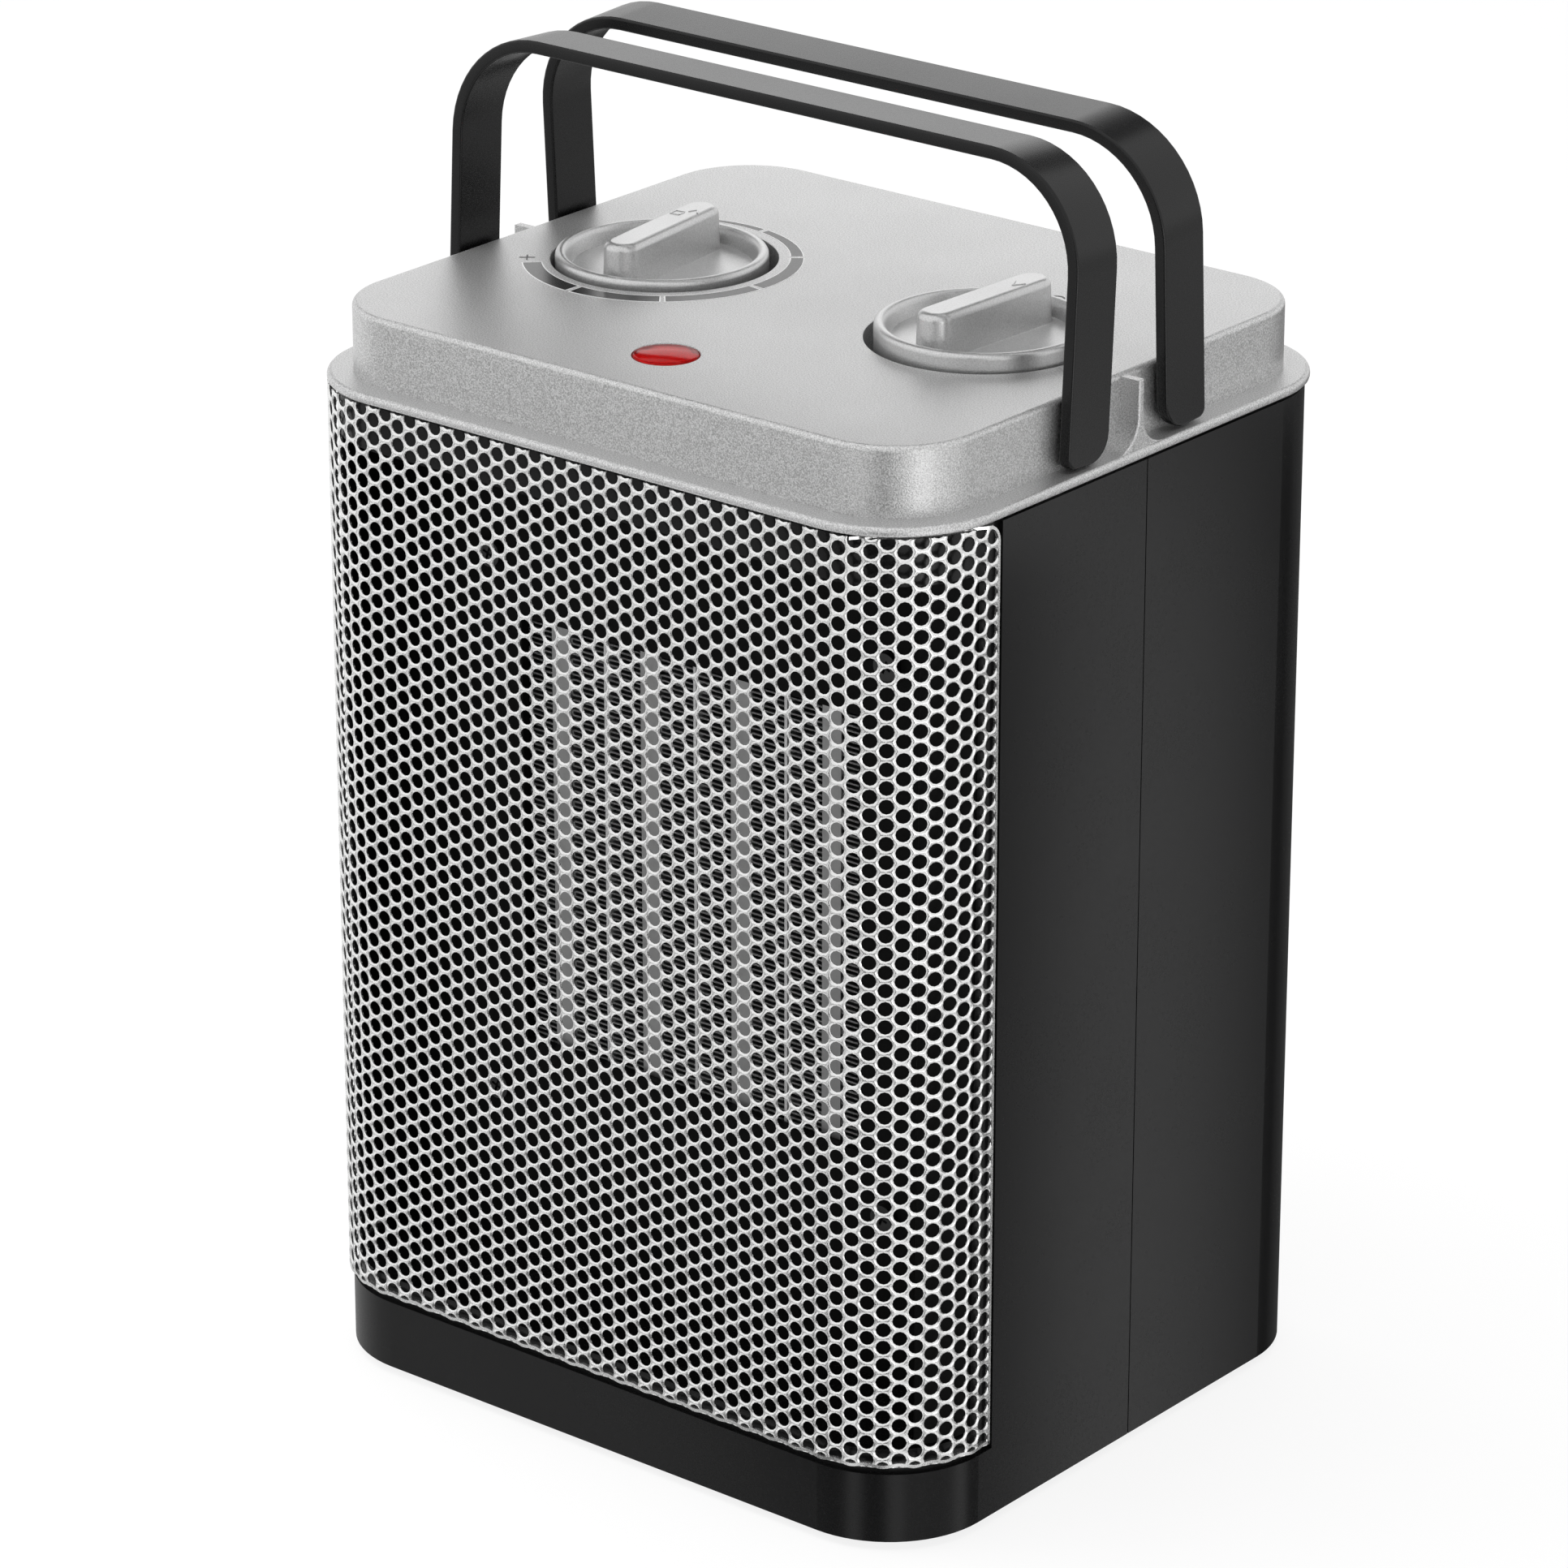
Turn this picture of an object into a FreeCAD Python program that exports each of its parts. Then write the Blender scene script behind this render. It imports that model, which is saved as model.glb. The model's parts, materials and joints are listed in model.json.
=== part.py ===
import FreeCAD, Part
import math
import os

from FreeCAD import Vector

# Ceramic space heater with two folding carry bails.
# Frame: +X to the right as seen from the grille side, which faces -Y, and +Z up.
# The origin is on the surface the heater stands on, under the middle of the cover.

# ---------------------------------------------------------------- casing
WIDTH = 168.0              # housing, side to side
DEPTH = 148.0              # housing, front to back
CORNER_R = 24.0            # upright corners of the housing
WALL = 2.2                 # moulded wall of the housing halves
STAND = 2.0                # housing's lower edge above the surface
HOUSING_H = 221.5          # height of the housing's sides
GROOVE = 1.0               # shadow gap between housing and cover
SEAM_Y = 2.5               # where the two housing halves meet
SEAM_GAP = 0.3
SEAM_LIP = 5.0             # overlap of the rear half's inner lip
LIP_T = 1.5
WINDOW_LEAD = 1.5          # the outlet takes in both front corners but for this much
WINDOW_SILL = 21.0         # lower and upper margins of the outlet
WINDOW_HEAD = 10.0
SHELF_T = 2.0              # floor of the outlet, from the plinth back to the baffle
RECESS = 1.2               # shallow recess in the wall for the grille
RECESS_BELOW = 1.9         # how far the recess runs past the grille, below
RECESS_SIDE = 2.0          # and at its sides

# ---------------------------------------------------------------- cover
OVERHANG = 1.0             # flange beyond the housing's sides
FLANGE_T = 2.0
FLANGE_EDGE_R = 1.2
DECK_INSET = 4.6           # raised deck inside the housing's outline
DECK_H = 15.0
DECK_R = 20.0
DECK_EDGE_R = 1.8
COVER_WALL = 2.2
SKIRT_H = 6.5
SKIRT_T = 1.8
SKIRT_GAP = 0.4
WEB_T = 1.8                # web between the two bails, each side
WEB_FILLET = 6.5
WEB_DROP = 0.5             # web's top below the deck

# ---------------------------------------------------------------- grille
GRILLE_T = 0.8
GRILLE_REACH = 2.4         # straight ends of the wrapped sides, past the bends
GRILLE_SILL = 17.6         # lower edge above the housing's lower edge
GRILLE_TOP_GAP = 0.3
HOLE_PITCH = 8.0
HOLE_D = 6.0
HOLE_MARGIN = 1.2
TAB_W = 8.0                # tabs that reach in at the sides of the outlet
TAB_DEPTH = 6.0

# ---------------------------------------------------------------- bails
BAIL_W = 13.4
BAIL_T = 2.8
BAIL_Y = 16.3              # pivot from the middle of the heater
BAIL_LEAN = 3.0            # degrees, inwards at rest
BAIL_SIDE_GAP = 1.1        # between leg and deck
BAIL_NEST_GAP = 0.4        # under and around the folded bail
BAIL_BEND_R = 20.4         # inside of the two bends
BAIL_TOE_R = 3.0
PIVOT_R = 3.0
PIVOT_CLEARANCE = 0.06
CLIP_T = 1.0
CLIP_R = 5.5

# ---------------------------------------------------------------- knobs
WELL_R = 25.0
WELL_INSET = 36.8          # a well's middle from the side of the deck
WELL_Y = 0.5
WELL_DEPTH = 8.0
KNOB_R = 23.4
KNOB_OFFSET = 0.7          # spindles lie this much further out than the wells
KNOB_RIM = 1.9
KNOB_WALL_H = 7.0
KNOB_DISH = 2.6
KNOB_FLOOR_T = 2.0
THERMOSTAT_LIFT = 1.7      # rims above the deck
MODE_LIFT = 3.7
GRIP_L = 40.0
GRIP_W = 8.6
GRIP_H = 8.8
GRIP_END_R = 3.4
GRIP_EDGE_R = 1.0
THERMOSTAT_REST = 7.0      # degrees, the grip's turn from straight back
MODE_REST = -3.0
SPINDLE_R = 3.0
SPINDLE_GAP = 0.06
HUB_R = 6.5
HUB_GAP = 0.8              # hub above the well's floor
CONTROL_SIZE = 30.0
THERMOSTAT_H = 17.0
SELECTOR_H = 20.0
CONTROL_SCREW_X = 11.5
CONTROL_SCREW_BITE = 6.0
SPINDLE_HOLE_GAP = 0.6     # where a spindle passes the well's floor
SPINDLE_SEAT = 3.0         # closed bottom of a control's case
TAG_X = 8.0                # spade tags under the controls
TAG_W = 6.2
TAG_T = 0.8
TAG_H = 7.0

# ---------------------------------------------------------------- pilot light
LENS_R = 6.9
LENS_INSET = 19.9          # lens's middle from the front of the deck
LENS_T = 2.4
LENS_GAP = 0.15
LAMP_R = 3.6
LAMP_H = 10.0
LAMP_GAP = 0.2
LAMP_LEAD_R = 0.4
LAMP_LEAD_L = 5.0
SLEEVE_T = 1.2
FACETS = 5

# ---------------------------------------------------------------- heating element
ELEMENT_DROP = 100.5       # middle of the air path below the top of the housing
ELEMENT_SETBACK = 33.0     # front of the element behind the front of the housing
ELEMENT_DEPTH = 14.0
ELEMENT_H = 99.0
BAR_PITCH = 24.6
BAR_W = 5.0
PLATE_W = 1.8
OUTER_FIN_W = 7.0
FIN_PITCH = 2.2
FIN_T = 0.4
FIN_GAP = 0.15
HOLDER_H = 6.0
HOLDER_GRIP = 2.5
FIT = 0.15
PRESS = 0.02               # radial room of pressed-on pieces
TERMINAL_X = 30.0
TERMINAL_W = 6.3
TERMINAL_T = 0.8
TERMINAL_H = 12.0

# ---------------------------------------------------------------- air path
BAFFLE_T = 2.0
BAFFLE_GAP = 0.3
WINDOW_LIP = 0.5           # how far the baffle's window laps over the element
CHANNEL_DEPTH = 4.0
CHANNEL_T = 2.0
DUCT_T = 2.0
DUCT_GAP = 0.3
DUCT_LENGTH = 34.0
DUCT_FLANGE = 8.0
FAN_R = 45.5
FAN_TIP_GAP = 1.5
FAN_HUB_R = 13.0
FAN_HUB_L = 16.0
FAN_HUB_FLOOR = 3.0        # closed nose of the hub
FAN_BLADES = 7
FAN_CHORD = 22.0
FAN_NOSE_R = 1.5
FAN_PITCH = 35.0           # degrees
BLADE_T = 1.6
SHROUD_L = 22.0

# ---------------------------------------------------------------- motor
SHAFT_R = 1.6
MOTOR_R = 19.0
MOTOR_L = 28.0
MOTOR_WALL = 1.0
CAP_T = 2.5
BUSH_R = 4.0
BUSH_L = 5.5
ROTOR_R = 11.0
ROTOR_L = 15.0
STATOR_R = 12.2
STATOR_L = 17.0
ARM_W = 8.0
BRACKET_T = 2.4
BRACKET_RIM = 3.0
BRACKET_BOSS_R = 3.2
BRACKET_BOSS_SINK = 1.0    # how far a boss runs into the shroud's ring
MOTOR_SCREW_IN = 6.0       # from the case's edge
MOTOR_TAG_X = 6.0
SPADE_W = 4.8              # spade tags of motor, switch and cut-out
SPADE_T = 0.8
SPADE_H = 6.0

# ---------------------------------------------------------------- base
BASE_T = 2.4
BASE_RISE = 0.6            # base plate above the housing's lower edge
BASE_GAP = 0.3
FOOT_R = 7.0
FOOT_INSET_X = 26.0
FOOT_INSET_Y = 24.0
FOOT_STUB_R = 2.5
POST_R = 5.6
POST_FRONT_INSET = 40.0
POST_REAR_INSET = 34.0
POST_H = 18.0
POST_SINK = 0.5            # how far a post runs into the wall beside it
SCREW_R = 1.5
SCREW_HEAD_R = 3.0
SCREW_HEAD_H = 1.6
SCREW_GAP = 0.2
PILOT_GAP = 0.04

# ---------------------------------------------------------------- tip-over switch
TIP_INSET = 40.0           # from the back of the housing
TIP_BODY = 16.0
TIP_H = 18.0
EAR_L = 6.4
EAR_T = 2.5
EAR_W = 8.0
TIP_ROOF = 3.0             # wall above the switch's spring
PLUNGER_R = 3.0
PLUNGER_STEM_R = 1.4
PLUNGER_FLANGE_R = 4.6
PLUNGER_FLANGE_T = 1.5
PLUNGER_TRAVEL = 3.0
PLUNGER_GAP = 0.3
STEM_GAP = 0.1
SPRING_R = 3.1
SPRING_WIRE = 0.3
SPRING_TURNS = 6

# ---------------------------------------------------------------- electrics
CORD_R = 3.75
CORD_INSET = 39.0          # from the side of the housing
CORD_Z = 24.0
CORD_BUSH_R = 7.0
CORD_FLANGE_R = 9.5
CORD_LIP = 0.9             # the bush's flange outside the back
CORD_BUSH_IN = 4.0
BLOCK_L = 30.0
BLOCK_W = 15.0
BLOCK_H = 13.0
BLOCK_INSET_X = 47.0
BLOCK_INSET_Y = 32.0
BLOCK_POLES = 3
POLE_R = 2.2
POLE_SLOT = 2.5            # depth of the slots between the poles
CUTOUT_R = 7.0
CUTOUT_H = 5.0
FUSE_R = 2.0
FUSE_L = 13.0
FUSE_GAP = 8.0             # beside the cut-out
FUSE_LEAD_R = 0.5
FUSE_LEAD_L = 4.0
WIRE_R = 1.1
WIRE_GAP = 0.3             # a wire's end short of its terminal
ROUND_SLACK = 0.02         # keeps a full round just short of its wall

# ---------------------------------------------------------------- intake
SLOT_H = 3.0
SLOT_W = 44.0
SLOT_PITCH = 6.0
SLOT_ROWS = 20
SLOT_GAP = 8.0             # bar between the two columns of slots

# ---------------------------------------------------------------- worked out
HALF_W = WIDTH / 2
HALF_D = DEPTH / 2
HOUSING_TOP = STAND + HOUSING_H
COVER_Z = HOUSING_TOP + GROOVE
LEDGE_Z = COVER_Z + FLANGE_T
DECK_Z = LEDGE_Z + DECK_H
DECK_X = HALF_W - DECK_INSET
DECK_Y = HALF_D - DECK_INSET
INNER_X = HALF_W - WALL
INNER_Y = HALF_D - WALL
WELL_FLOOR = DECK_Z - WELL_DEPTH
PANEL_Z = WELL_FLOOR - COVER_WALL          # underside of the wells
WELL_X = DECK_X - WELL_INSET
LENS_Y = DECK_Y - LENS_INSET
PIVOT_Z = LEDGE_Z + BAIL_W / 2 + BAIL_NEST_GAP
BAIL_IN_X = DECK_X + BAIL_SIDE_GAP
BAIL_REACH = DECK_Y + BAIL_NEST_GAP + BAIL_T - BAIL_Y
BASE_Z = STAND + BASE_RISE
FLOOR_Z = BASE_Z + BASE_T                  # top of the base plate
POST_X = INNER_X - POST_R + POST_SINK
POST_Y_FRONT = HALF_D - POST_FRONT_INSET
POST_Y_REAR = HALF_D - POST_REAR_INSET
FOOT_X = HALF_W - FOOT_INSET_X
FOOT_Y = HALF_D - FOOT_INSET_Y
TIP_Y = HALF_D - TIP_INSET
CORD_X = -HALF_W + CORD_INSET
BLOCK_X = -HALF_W + BLOCK_INSET_X
BLOCK_Y = HALF_D - BLOCK_INSET_Y
ELEMENT_Z = HOUSING_TOP - ELEMENT_DROP
ELEMENT_FRONT = HALF_D - ELEMENT_SETBACK   # ahead of the middle of the heater
BAFFLE_Y = -ELEMENT_FRONT - BAFFLE_GAP     # rear face of the baffle
ELEMENT_X = 1.5 * BAR_PITCH + BAR_W / 2 + OUTER_FIN_W
HOLDER_X = ELEMENT_X + 1.0
DUCT_X = HOLDER_X + DUCT_GAP
DUCT_HALF_H = ELEMENT_H / 2 + HOLDER_H + DUCT_GAP
DUCT_REAR = BAFFLE_Y + DUCT_LENGTH
SHROUD_REAR = DUCT_REAR + SHROUD_L
FAN_MIDDLE = (DUCT_REAR + SHROUD_REAR) / 2
FAN_HUB_FRONT = FAN_MIDDLE - FAN_HUB_L / 2
BRACKET_REAR = SHROUD_REAR + BRACKET_T
MOTOR_REAR = BRACKET_REAR + MOTOR_L
CORNER_X = HALF_W - CORNER_R
CORNER_Y = HALF_D - CORNER_R
GRILLE_SIDE_Y = CORNER_Y - GRILLE_REACH
WINDOW_SIDE_Y = CORNER_Y + WINDOW_LEAD
UP = Vector(0, 0, 1)
DOWN = Vector(0, 0, -1)
BACK = Vector(0, 1, 0)
FRONT = Vector(0, -1, 0)
RIGHT = Vector(1, 0, 0)


# ---------------------------------------------------------------- helpers
def box(x0, x1, y0, y1, z0, z1):
    """Block between two corners."""
    return Part.makeBox(x1 - x0, y1 - y0, z1 - z0, Vector(x0, y0, z0))


def rod(radius, start, direction, length):
    """Round bar from a point, along a direction."""
    return Part.makeCylinder(radius, length, start, direction)


def ring(outer, inner, start, direction, length):
    """Tube from a point, along a direction."""
    return rod(outer, start, direction, length).cut(rod(inner, start, direction, length))


def fuse_all(shapes):
    """One solid from overlapping ones."""
    return shapes[0].multiFuse(shapes[1:]).removeSplitter()


def cut_all(shape, tools):
    """A solid less several others."""
    return shape.cut(Part.makeCompound(tools))


def rounded_outline(half_x, half_y, radius, z):
    """Closed wire of a rectangle with round corners."""
    edges = []
    corners = [(1, 1), (-1, 1), (-1, -1), (1, -1)]
    for index, (sx, sy) in enumerate(corners):
        centre = Vector(sx * (half_x - radius), sy * (half_y - radius), z)
        start = 90 * index
        arc = Part.makeCircle(radius, centre, UP, start, start + 90)
        if edges:
            edges.append(Part.makeLine(edges[-1].Vertexes[-1].Point, arc.Vertexes[0].Point))
        edges.append(arc)
    edges.append(Part.makeLine(edges[-1].Vertexes[-1].Point, edges[0].Vertexes[0].Point))
    return Part.Wire(edges)


def rounded_block(half_x, half_y, radius, z0, z1):
    """Upright block with round corners, centred on the Z axis."""
    return Part.Face(rounded_outline(half_x, half_y, radius, z0)).extrude(UP * (z1 - z0))


def inset_block(inset, z0, z1):
    """Block that follows the housing's outline at an inset."""
    return rounded_block(HALF_W - inset, HALF_D - inset, CORNER_R - inset, z0, z1)


def inset_ring(inset, thickness, z0, z1):
    """Wall that follows the housing's outline at an inset."""
    return inset_block(inset, z0, z1).cut(inset_block(inset + thickness, z0, z1))


def edges_at(shape, height):
    """Edges that lie level at a height."""
    return [e for e in shape.Edges if all(abs(v.Z - height) < 1e-4 for v in e.Vertexes)]


def polygon_prism(points, direction):
    """Prism on a closed polygon of points."""
    return Part.Face(Part.makePolygon(points + [points[0]])).extrude(direction)


def screw(point, direction, length):
    """Pan-head screw whose head bears on a point and whose shank runs along a direction."""
    shank = rod(SCREW_R, point, direction, length)
    head = rod(SCREW_HEAD_R, point - direction * SCREW_HEAD_H, direction, SCREW_HEAD_H)
    side = direction.cross(Vector(0.3, 0.5, 0.8)).normalize()
    other = direction.cross(side)
    slots = []
    for along, across in ((side, other), (other, side)):
        corner = point - direction * SCREW_HEAD_H - along * SCREW_R - across * 0.3
        face = Part.Face(Part.makePolygon([corner, corner + along * 2 * SCREW_R,
                                           corner + along * 2 * SCREW_R + across * 0.6,
                                           corner + across * 0.6, corner]))
        slots.append(face.extrude(direction * (SCREW_HEAD_H / 2)))
    return cut_all(shank.fuse(head), slots)


def post_places():
    """Feet of the four screw posts, as (x, y)."""
    return [(sx * POST_X, y) for sx in (-1, 1) for y in (-POST_Y_FRONT, POST_Y_REAR)]


def control_places():
    """Spindle axes, as (x, y): thermostat first, then the mode selector."""
    return [(-WELL_X - KNOB_OFFSET, WELL_Y), (WELL_X + KNOB_OFFSET, WELL_Y)]


# ---------------------------------------------------------------- casing pieces
def post(x, y, z0, z1):
    """Screw post against a side wall, with its pilot hole."""
    return rod(POST_R, Vector(x, y, z0), UP, z1 - z0)


def housing_posts(y):
    """Upper and lower screw posts of one housing half."""
    shapes = []
    for sx in (-1, 1):
        shapes.append(post(sx * POST_X, y, FLOOR_Z, FLOOR_Z + POST_H))
        shapes.append(post(sx * POST_X, y, HOUSING_TOP - POST_H, HOUSING_TOP))
    return shapes


def housing_post_holes(y):
    """Pilot holes in the lower posts and clearance holes in the upper ones."""
    holes = []
    for sx in (-1, 1):
        x = sx * POST_X
        holes.append(rod(SCREW_R + PILOT_GAP, Vector(x, y, FLOOR_Z - 1), UP, POST_H - 3))
        holes.append(rod(SCREW_R + SCREW_GAP, Vector(x, y, HOUSING_TOP - POST_H - 1), UP, POST_H + 2))
    return holes


def side_boss_places():
    """Centres of the bosses that hold the two halves together, as (x, z)."""
    low = STAND + HOUSING_H * 0.2
    high = STAND + HOUSING_H * 0.8
    return [(sx * POST_X, z) for sx in (-1, 1) for z in (low, high)]


def front_housing():
    """Front half: plinth, sides, outlet with its recess and floor, baffle channels and posts."""
    shell = inset_ring(0, WALL, STAND, HOUSING_TOP)
    half = shell.common(box(-WIDTH, WIDTH, -DEPTH, SEAM_Y - SEAM_GAP / 2, 0, 2 * HOUSING_H))
    sill = STAND + WINDOW_SILL
    window = box(-WIDTH, WIDTH, -DEPTH, -WINDOW_SIDE_Y, sill, HOUSING_TOP - WINDOW_HEAD)
    baffle_front = BAFFLE_Y - BAFFLE_T
    shelf = inset_block(RECESS + WALL / 4, sill - SHELF_T, sill).common(
        box(-WIDTH, WIDTH, -DEPTH, baffle_front - BAFFLE_GAP, 0, HOUSING_H))
    floor = STAND + GRILLE_SILL - RECESS_BELOW
    recess = inset_ring(-1, RECESS + 1, floor, 2 * HOUSING_H).common(
        box(-WIDTH, WIDTH, -DEPTH, -GRILLE_SIDE_Y + RECESS_SIDE, 0, 2 * HOUSING_H))
    parts = [cut_all(half, [window, recess]), shelf] + housing_posts(-POST_Y_FRONT)
    for y0 in (baffle_front - BAFFLE_GAP - CHANNEL_T, BAFFLE_Y + BAFFLE_GAP):
        for sx in (-1, 1):
            xs = sorted((sx * (INNER_X - CHANNEL_DEPTH), sx * (INNER_X + WALL / 2)))
            parts.append(box(xs[0], xs[1], y0, y0 + CHANNEL_T,
                             FLOOR_Z + BASE_GAP, HOUSING_TOP - SKIRT_H - 1))
    for x, z in side_boss_places():
        parts.append(rod(POST_R, Vector(x, SEAM_Y - SEAM_GAP / 2, z), FRONT, POST_H))
    holes = housing_post_holes(-POST_Y_FRONT)
    for x, z in side_boss_places():
        holes.append(rod(SCREW_R + PILOT_GAP, Vector(x, SEAM_Y + 1, z), FRONT, POST_H - 2))
    return cut_all(fuse_all(parts), holes)


def rear_housing():
    """Rear half: sides, back with intake slots, seam lip, posts and the cord's hole."""
    shell = inset_ring(0, WALL, STAND, HOUSING_TOP)
    half = shell.common(box(-WIDTH, WIDTH, SEAM_Y + SEAM_GAP / 2, DEPTH, 0, 2 * HOUSING_H))
    parts = [half] + housing_posts(POST_Y_REAR)
    lip_bottom = FLOOR_Z + BASE_GAP + 2
    lip_top = HOUSING_TOP - SKIRT_H - 3
    for sx in (-1, 1):
        xs = sorted((sx * (INNER_X - SEAM_GAP - LIP_T), sx * (INNER_X - SEAM_GAP)))
        lip = box(xs[0], xs[1], SEAM_Y - SEAM_LIP / 2, SEAM_Y + SEAM_LIP / 2, lip_bottom, lip_top)
        for x, z in side_boss_places():
            lip = lip.cut(rod(POST_R + SEAM_GAP, Vector(x, SEAM_Y + SEAM_GAP / 2, z), FRONT, POST_H))
        xs = sorted((sx * (INNER_X - SEAM_GAP - LIP_T), sx * (INNER_X + WALL / 2)))
        root = box(xs[0], xs[1], SEAM_Y + SEAM_GAP, SEAM_Y + SEAM_LIP / 2, lip_bottom, lip_top)
        parts += [lip, root]
    for x, z in side_boss_places():
        parts.append(rod(POST_R, Vector(x, SEAM_Y + SEAM_GAP / 2, z), BACK, POST_H))
    holes = housing_post_holes(POST_Y_REAR)
    for x, z in side_boss_places():
        holes.append(rod(SCREW_R + SCREW_GAP, Vector(x, SEAM_Y - 1, z), BACK, POST_H + 2))
    first_row = ELEMENT_Z - SLOT_PITCH * (SLOT_ROWS - 1) / 2
    for row in range(SLOT_ROWS):
        z = first_row + SLOT_PITCH * row
        for x0 in (-SLOT_GAP / 2 - SLOT_W, SLOT_GAP / 2):
            holes.append(box(x0, x0 + SLOT_W, INNER_Y - 1, DEPTH, z - SLOT_H / 2, z + SLOT_H / 2))
    holes.append(rod(CORD_BUSH_R + FIT, Vector(CORD_X, INNER_Y - 1, STAND + CORD_Z), BACK, DEPTH))
    return cut_all(fuse_all(parts), holes)


def web():
    """Web beside the deck that parts the two bails, flaring into the ledge."""
    half = WEB_T / 2
    foot = half + WEB_FILLET
    top = DECK_Z - WEB_DROP
    bend = 1 - math.sqrt(0.5)
    edges = []
    spot = {}
    for sy in (-1, 1):
        spot[sy] = [Vector(0, sy * foot, LEDGE_Z), Vector(0, sy * (half + WEB_FILLET * bend),
                    LEDGE_Z + WEB_FILLET * bend), Vector(0, sy * half, LEDGE_Z + WEB_FILLET),
                    Vector(0, sy * half, top)]
        edges.append(Part.Arc(*spot[sy][:3]).toShape())
        edges.append(Part.makeLine(spot[sy][2], spot[sy][3]))
    below = LEDGE_Z - FLANGE_T / 2
    low = [Vector(0, sy * foot, below) for sy in (-1, 1)]
    edges.append(Part.makeLine(spot[-1][3], spot[1][3]))
    edges.append(Part.makeLine(spot[-1][0], low[0]))
    edges.append(Part.makeLine(low[0], low[1]))
    edges.append(Part.makeLine(low[1], spot[1][0]))
    face = Part.Face(Part.Wire(Part.__sortEdges__(edges)))
    return face.extrude(RIGHT * (HALF_W + OVERHANG - (DECK_X - COVER_WALL / 2)))


def top_cover():
    """Silver cover: flange, raised deck, two knob wells, webs, skirt and bosses."""
    flange = inset_block(-OVERHANG, COVER_Z, LEDGE_Z)
    flange = flange.makeFillet(FLANGE_EDGE_R, edges_at(flange, LEDGE_Z))
    deck = rounded_block(DECK_X, DECK_Y, DECK_R, COVER_Z, DECK_Z)
    deck = deck.makeFillet(DECK_EDGE_R, edges_at(deck, DECK_Z))
    hollow = rounded_block(DECK_X - COVER_WALL, DECK_Y - COVER_WALL, DECK_R - COVER_WALL,
                           COVER_Z - 1, DECK_Z - COVER_WALL)
    body = flange.fuse(deck).cut(hollow)
    skirt = inset_ring(WALL + SKIRT_GAP, SKIRT_T, HOUSING_TOP - SKIRT_H, LEDGE_Z - FLANGE_T / 2)
    skirt = cut_all(skirt, [post(x, y, COVER_Z - 3 * SKIRT_H, HOUSING_TOP).fuse(
        rod(POST_R + SKIRT_GAP, Vector(x, y, 0), UP, HOUSING_TOP)) for x, y in post_places()])
    parts = [body, skirt]
    start = DECK_X - COVER_WALL / 2
    right_web = web().translated(Vector(start, 0, 0))
    parts += [right_web, right_web.mirror(Vector(0, 0, 0), RIGHT)]
    cups = []
    for sx in (-1, 1):
        centre = Vector(sx * WELL_X, WELL_Y, PANEL_Z)
        parts.append(rod(WELL_R + COVER_WALL, centre, UP, DECK_Z - COVER_WALL / 2 - PANEL_Z))
        cups.append(rod(WELL_R, Vector(sx * WELL_X, WELL_Y, WELL_FLOOR), UP, DECK_H))
    for x, y in post_places():
        parts.append(rod(POST_R - POST_SINK, Vector(x, y, HOUSING_TOP), UP,
                         DECK_Z - COVER_WALL / 2 - HOUSING_TOP).common(
                             rounded_block(DECK_X - COVER_WALL / 2, DECK_Y, DECK_R, 0, DECK_Z)))
    lens_at = Vector(0, -LENS_Y, 0)
    sleeve_top = DECK_Z - COVER_WALL / 2
    parts.append(rod(LENS_R + SLEEVE_T, lens_at + UP * (DECK_Z - LENS_T - LAMP_H), UP,
                     sleeve_top - (DECK_Z - LENS_T - LAMP_H)))
    cuts = cups + [rod(LENS_R + LENS_GAP, lens_at + UP * (DECK_Z - LENS_T), UP, DECK_H),
                   rod(LAMP_R + LAMP_GAP, lens_at + UP * (DECK_Z - 2 * DECK_H), UP, 2 * DECK_H)]
    for x, y in control_places():
        cuts.append(rod(SPINDLE_R + SPINDLE_HOLE_GAP, Vector(x, y, PANEL_Z - 1), UP, DECK_H))
        for side in (-1, 1):
            cuts.append(rod(SCREW_R + SCREW_GAP, Vector(x + side * CONTROL_SCREW_X, y, PANEL_Z - 1),
                            UP, DECK_H))
    for sx in (-1, 1):
        for sy in (-1, 1):
            cuts.append(rod(PIVOT_R + PIVOT_CLEARANCE,
                            Vector(sx * (DECK_X - 2 * COVER_WALL), sy * BAIL_Y, PIVOT_Z),
                            RIGHT * sx, 4 * COVER_WALL))
    for x, y in post_places():
        cuts.append(rod(SCREW_R + PILOT_GAP, Vector(x, y, HOUSING_TOP - 1), UP, DECK_H - 4))
    return cut_all(fuse_all(parts), cuts)


def base_plate():
    """Plate that closes the bottom, with holes for feet, screws and the tip-over plunger."""
    plate = inset_block(WALL + BASE_GAP, BASE_Z, FLOOR_Z)
    holes = [rod(SCREW_R + SCREW_GAP, Vector(x, y, 0), UP, 2 * FLOOR_Z) for x, y in post_places()]
    holes += [rod(FOOT_STUB_R + FIT, Vector(x, y, 0), UP, 2 * FLOOR_Z) for x, y in foot_places()]
    holes.append(rod(PLUNGER_R + PLUNGER_GAP, Vector(0, TIP_Y, 0), UP, 2 * FLOOR_Z))
    holes += [rod(SCREW_R + PILOT_GAP, Vector(x, TIP_Y, 0), UP, 2 * FLOOR_Z) for x in tip_screw_places()]
    return cut_all(plate, holes)


def foot_places():
    """Middles of the four feet, as (x, y)."""
    return [(sx * FOOT_X, sy * FOOT_Y) for sx in (-1, 1) for sy in (-1, 1)]


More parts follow.
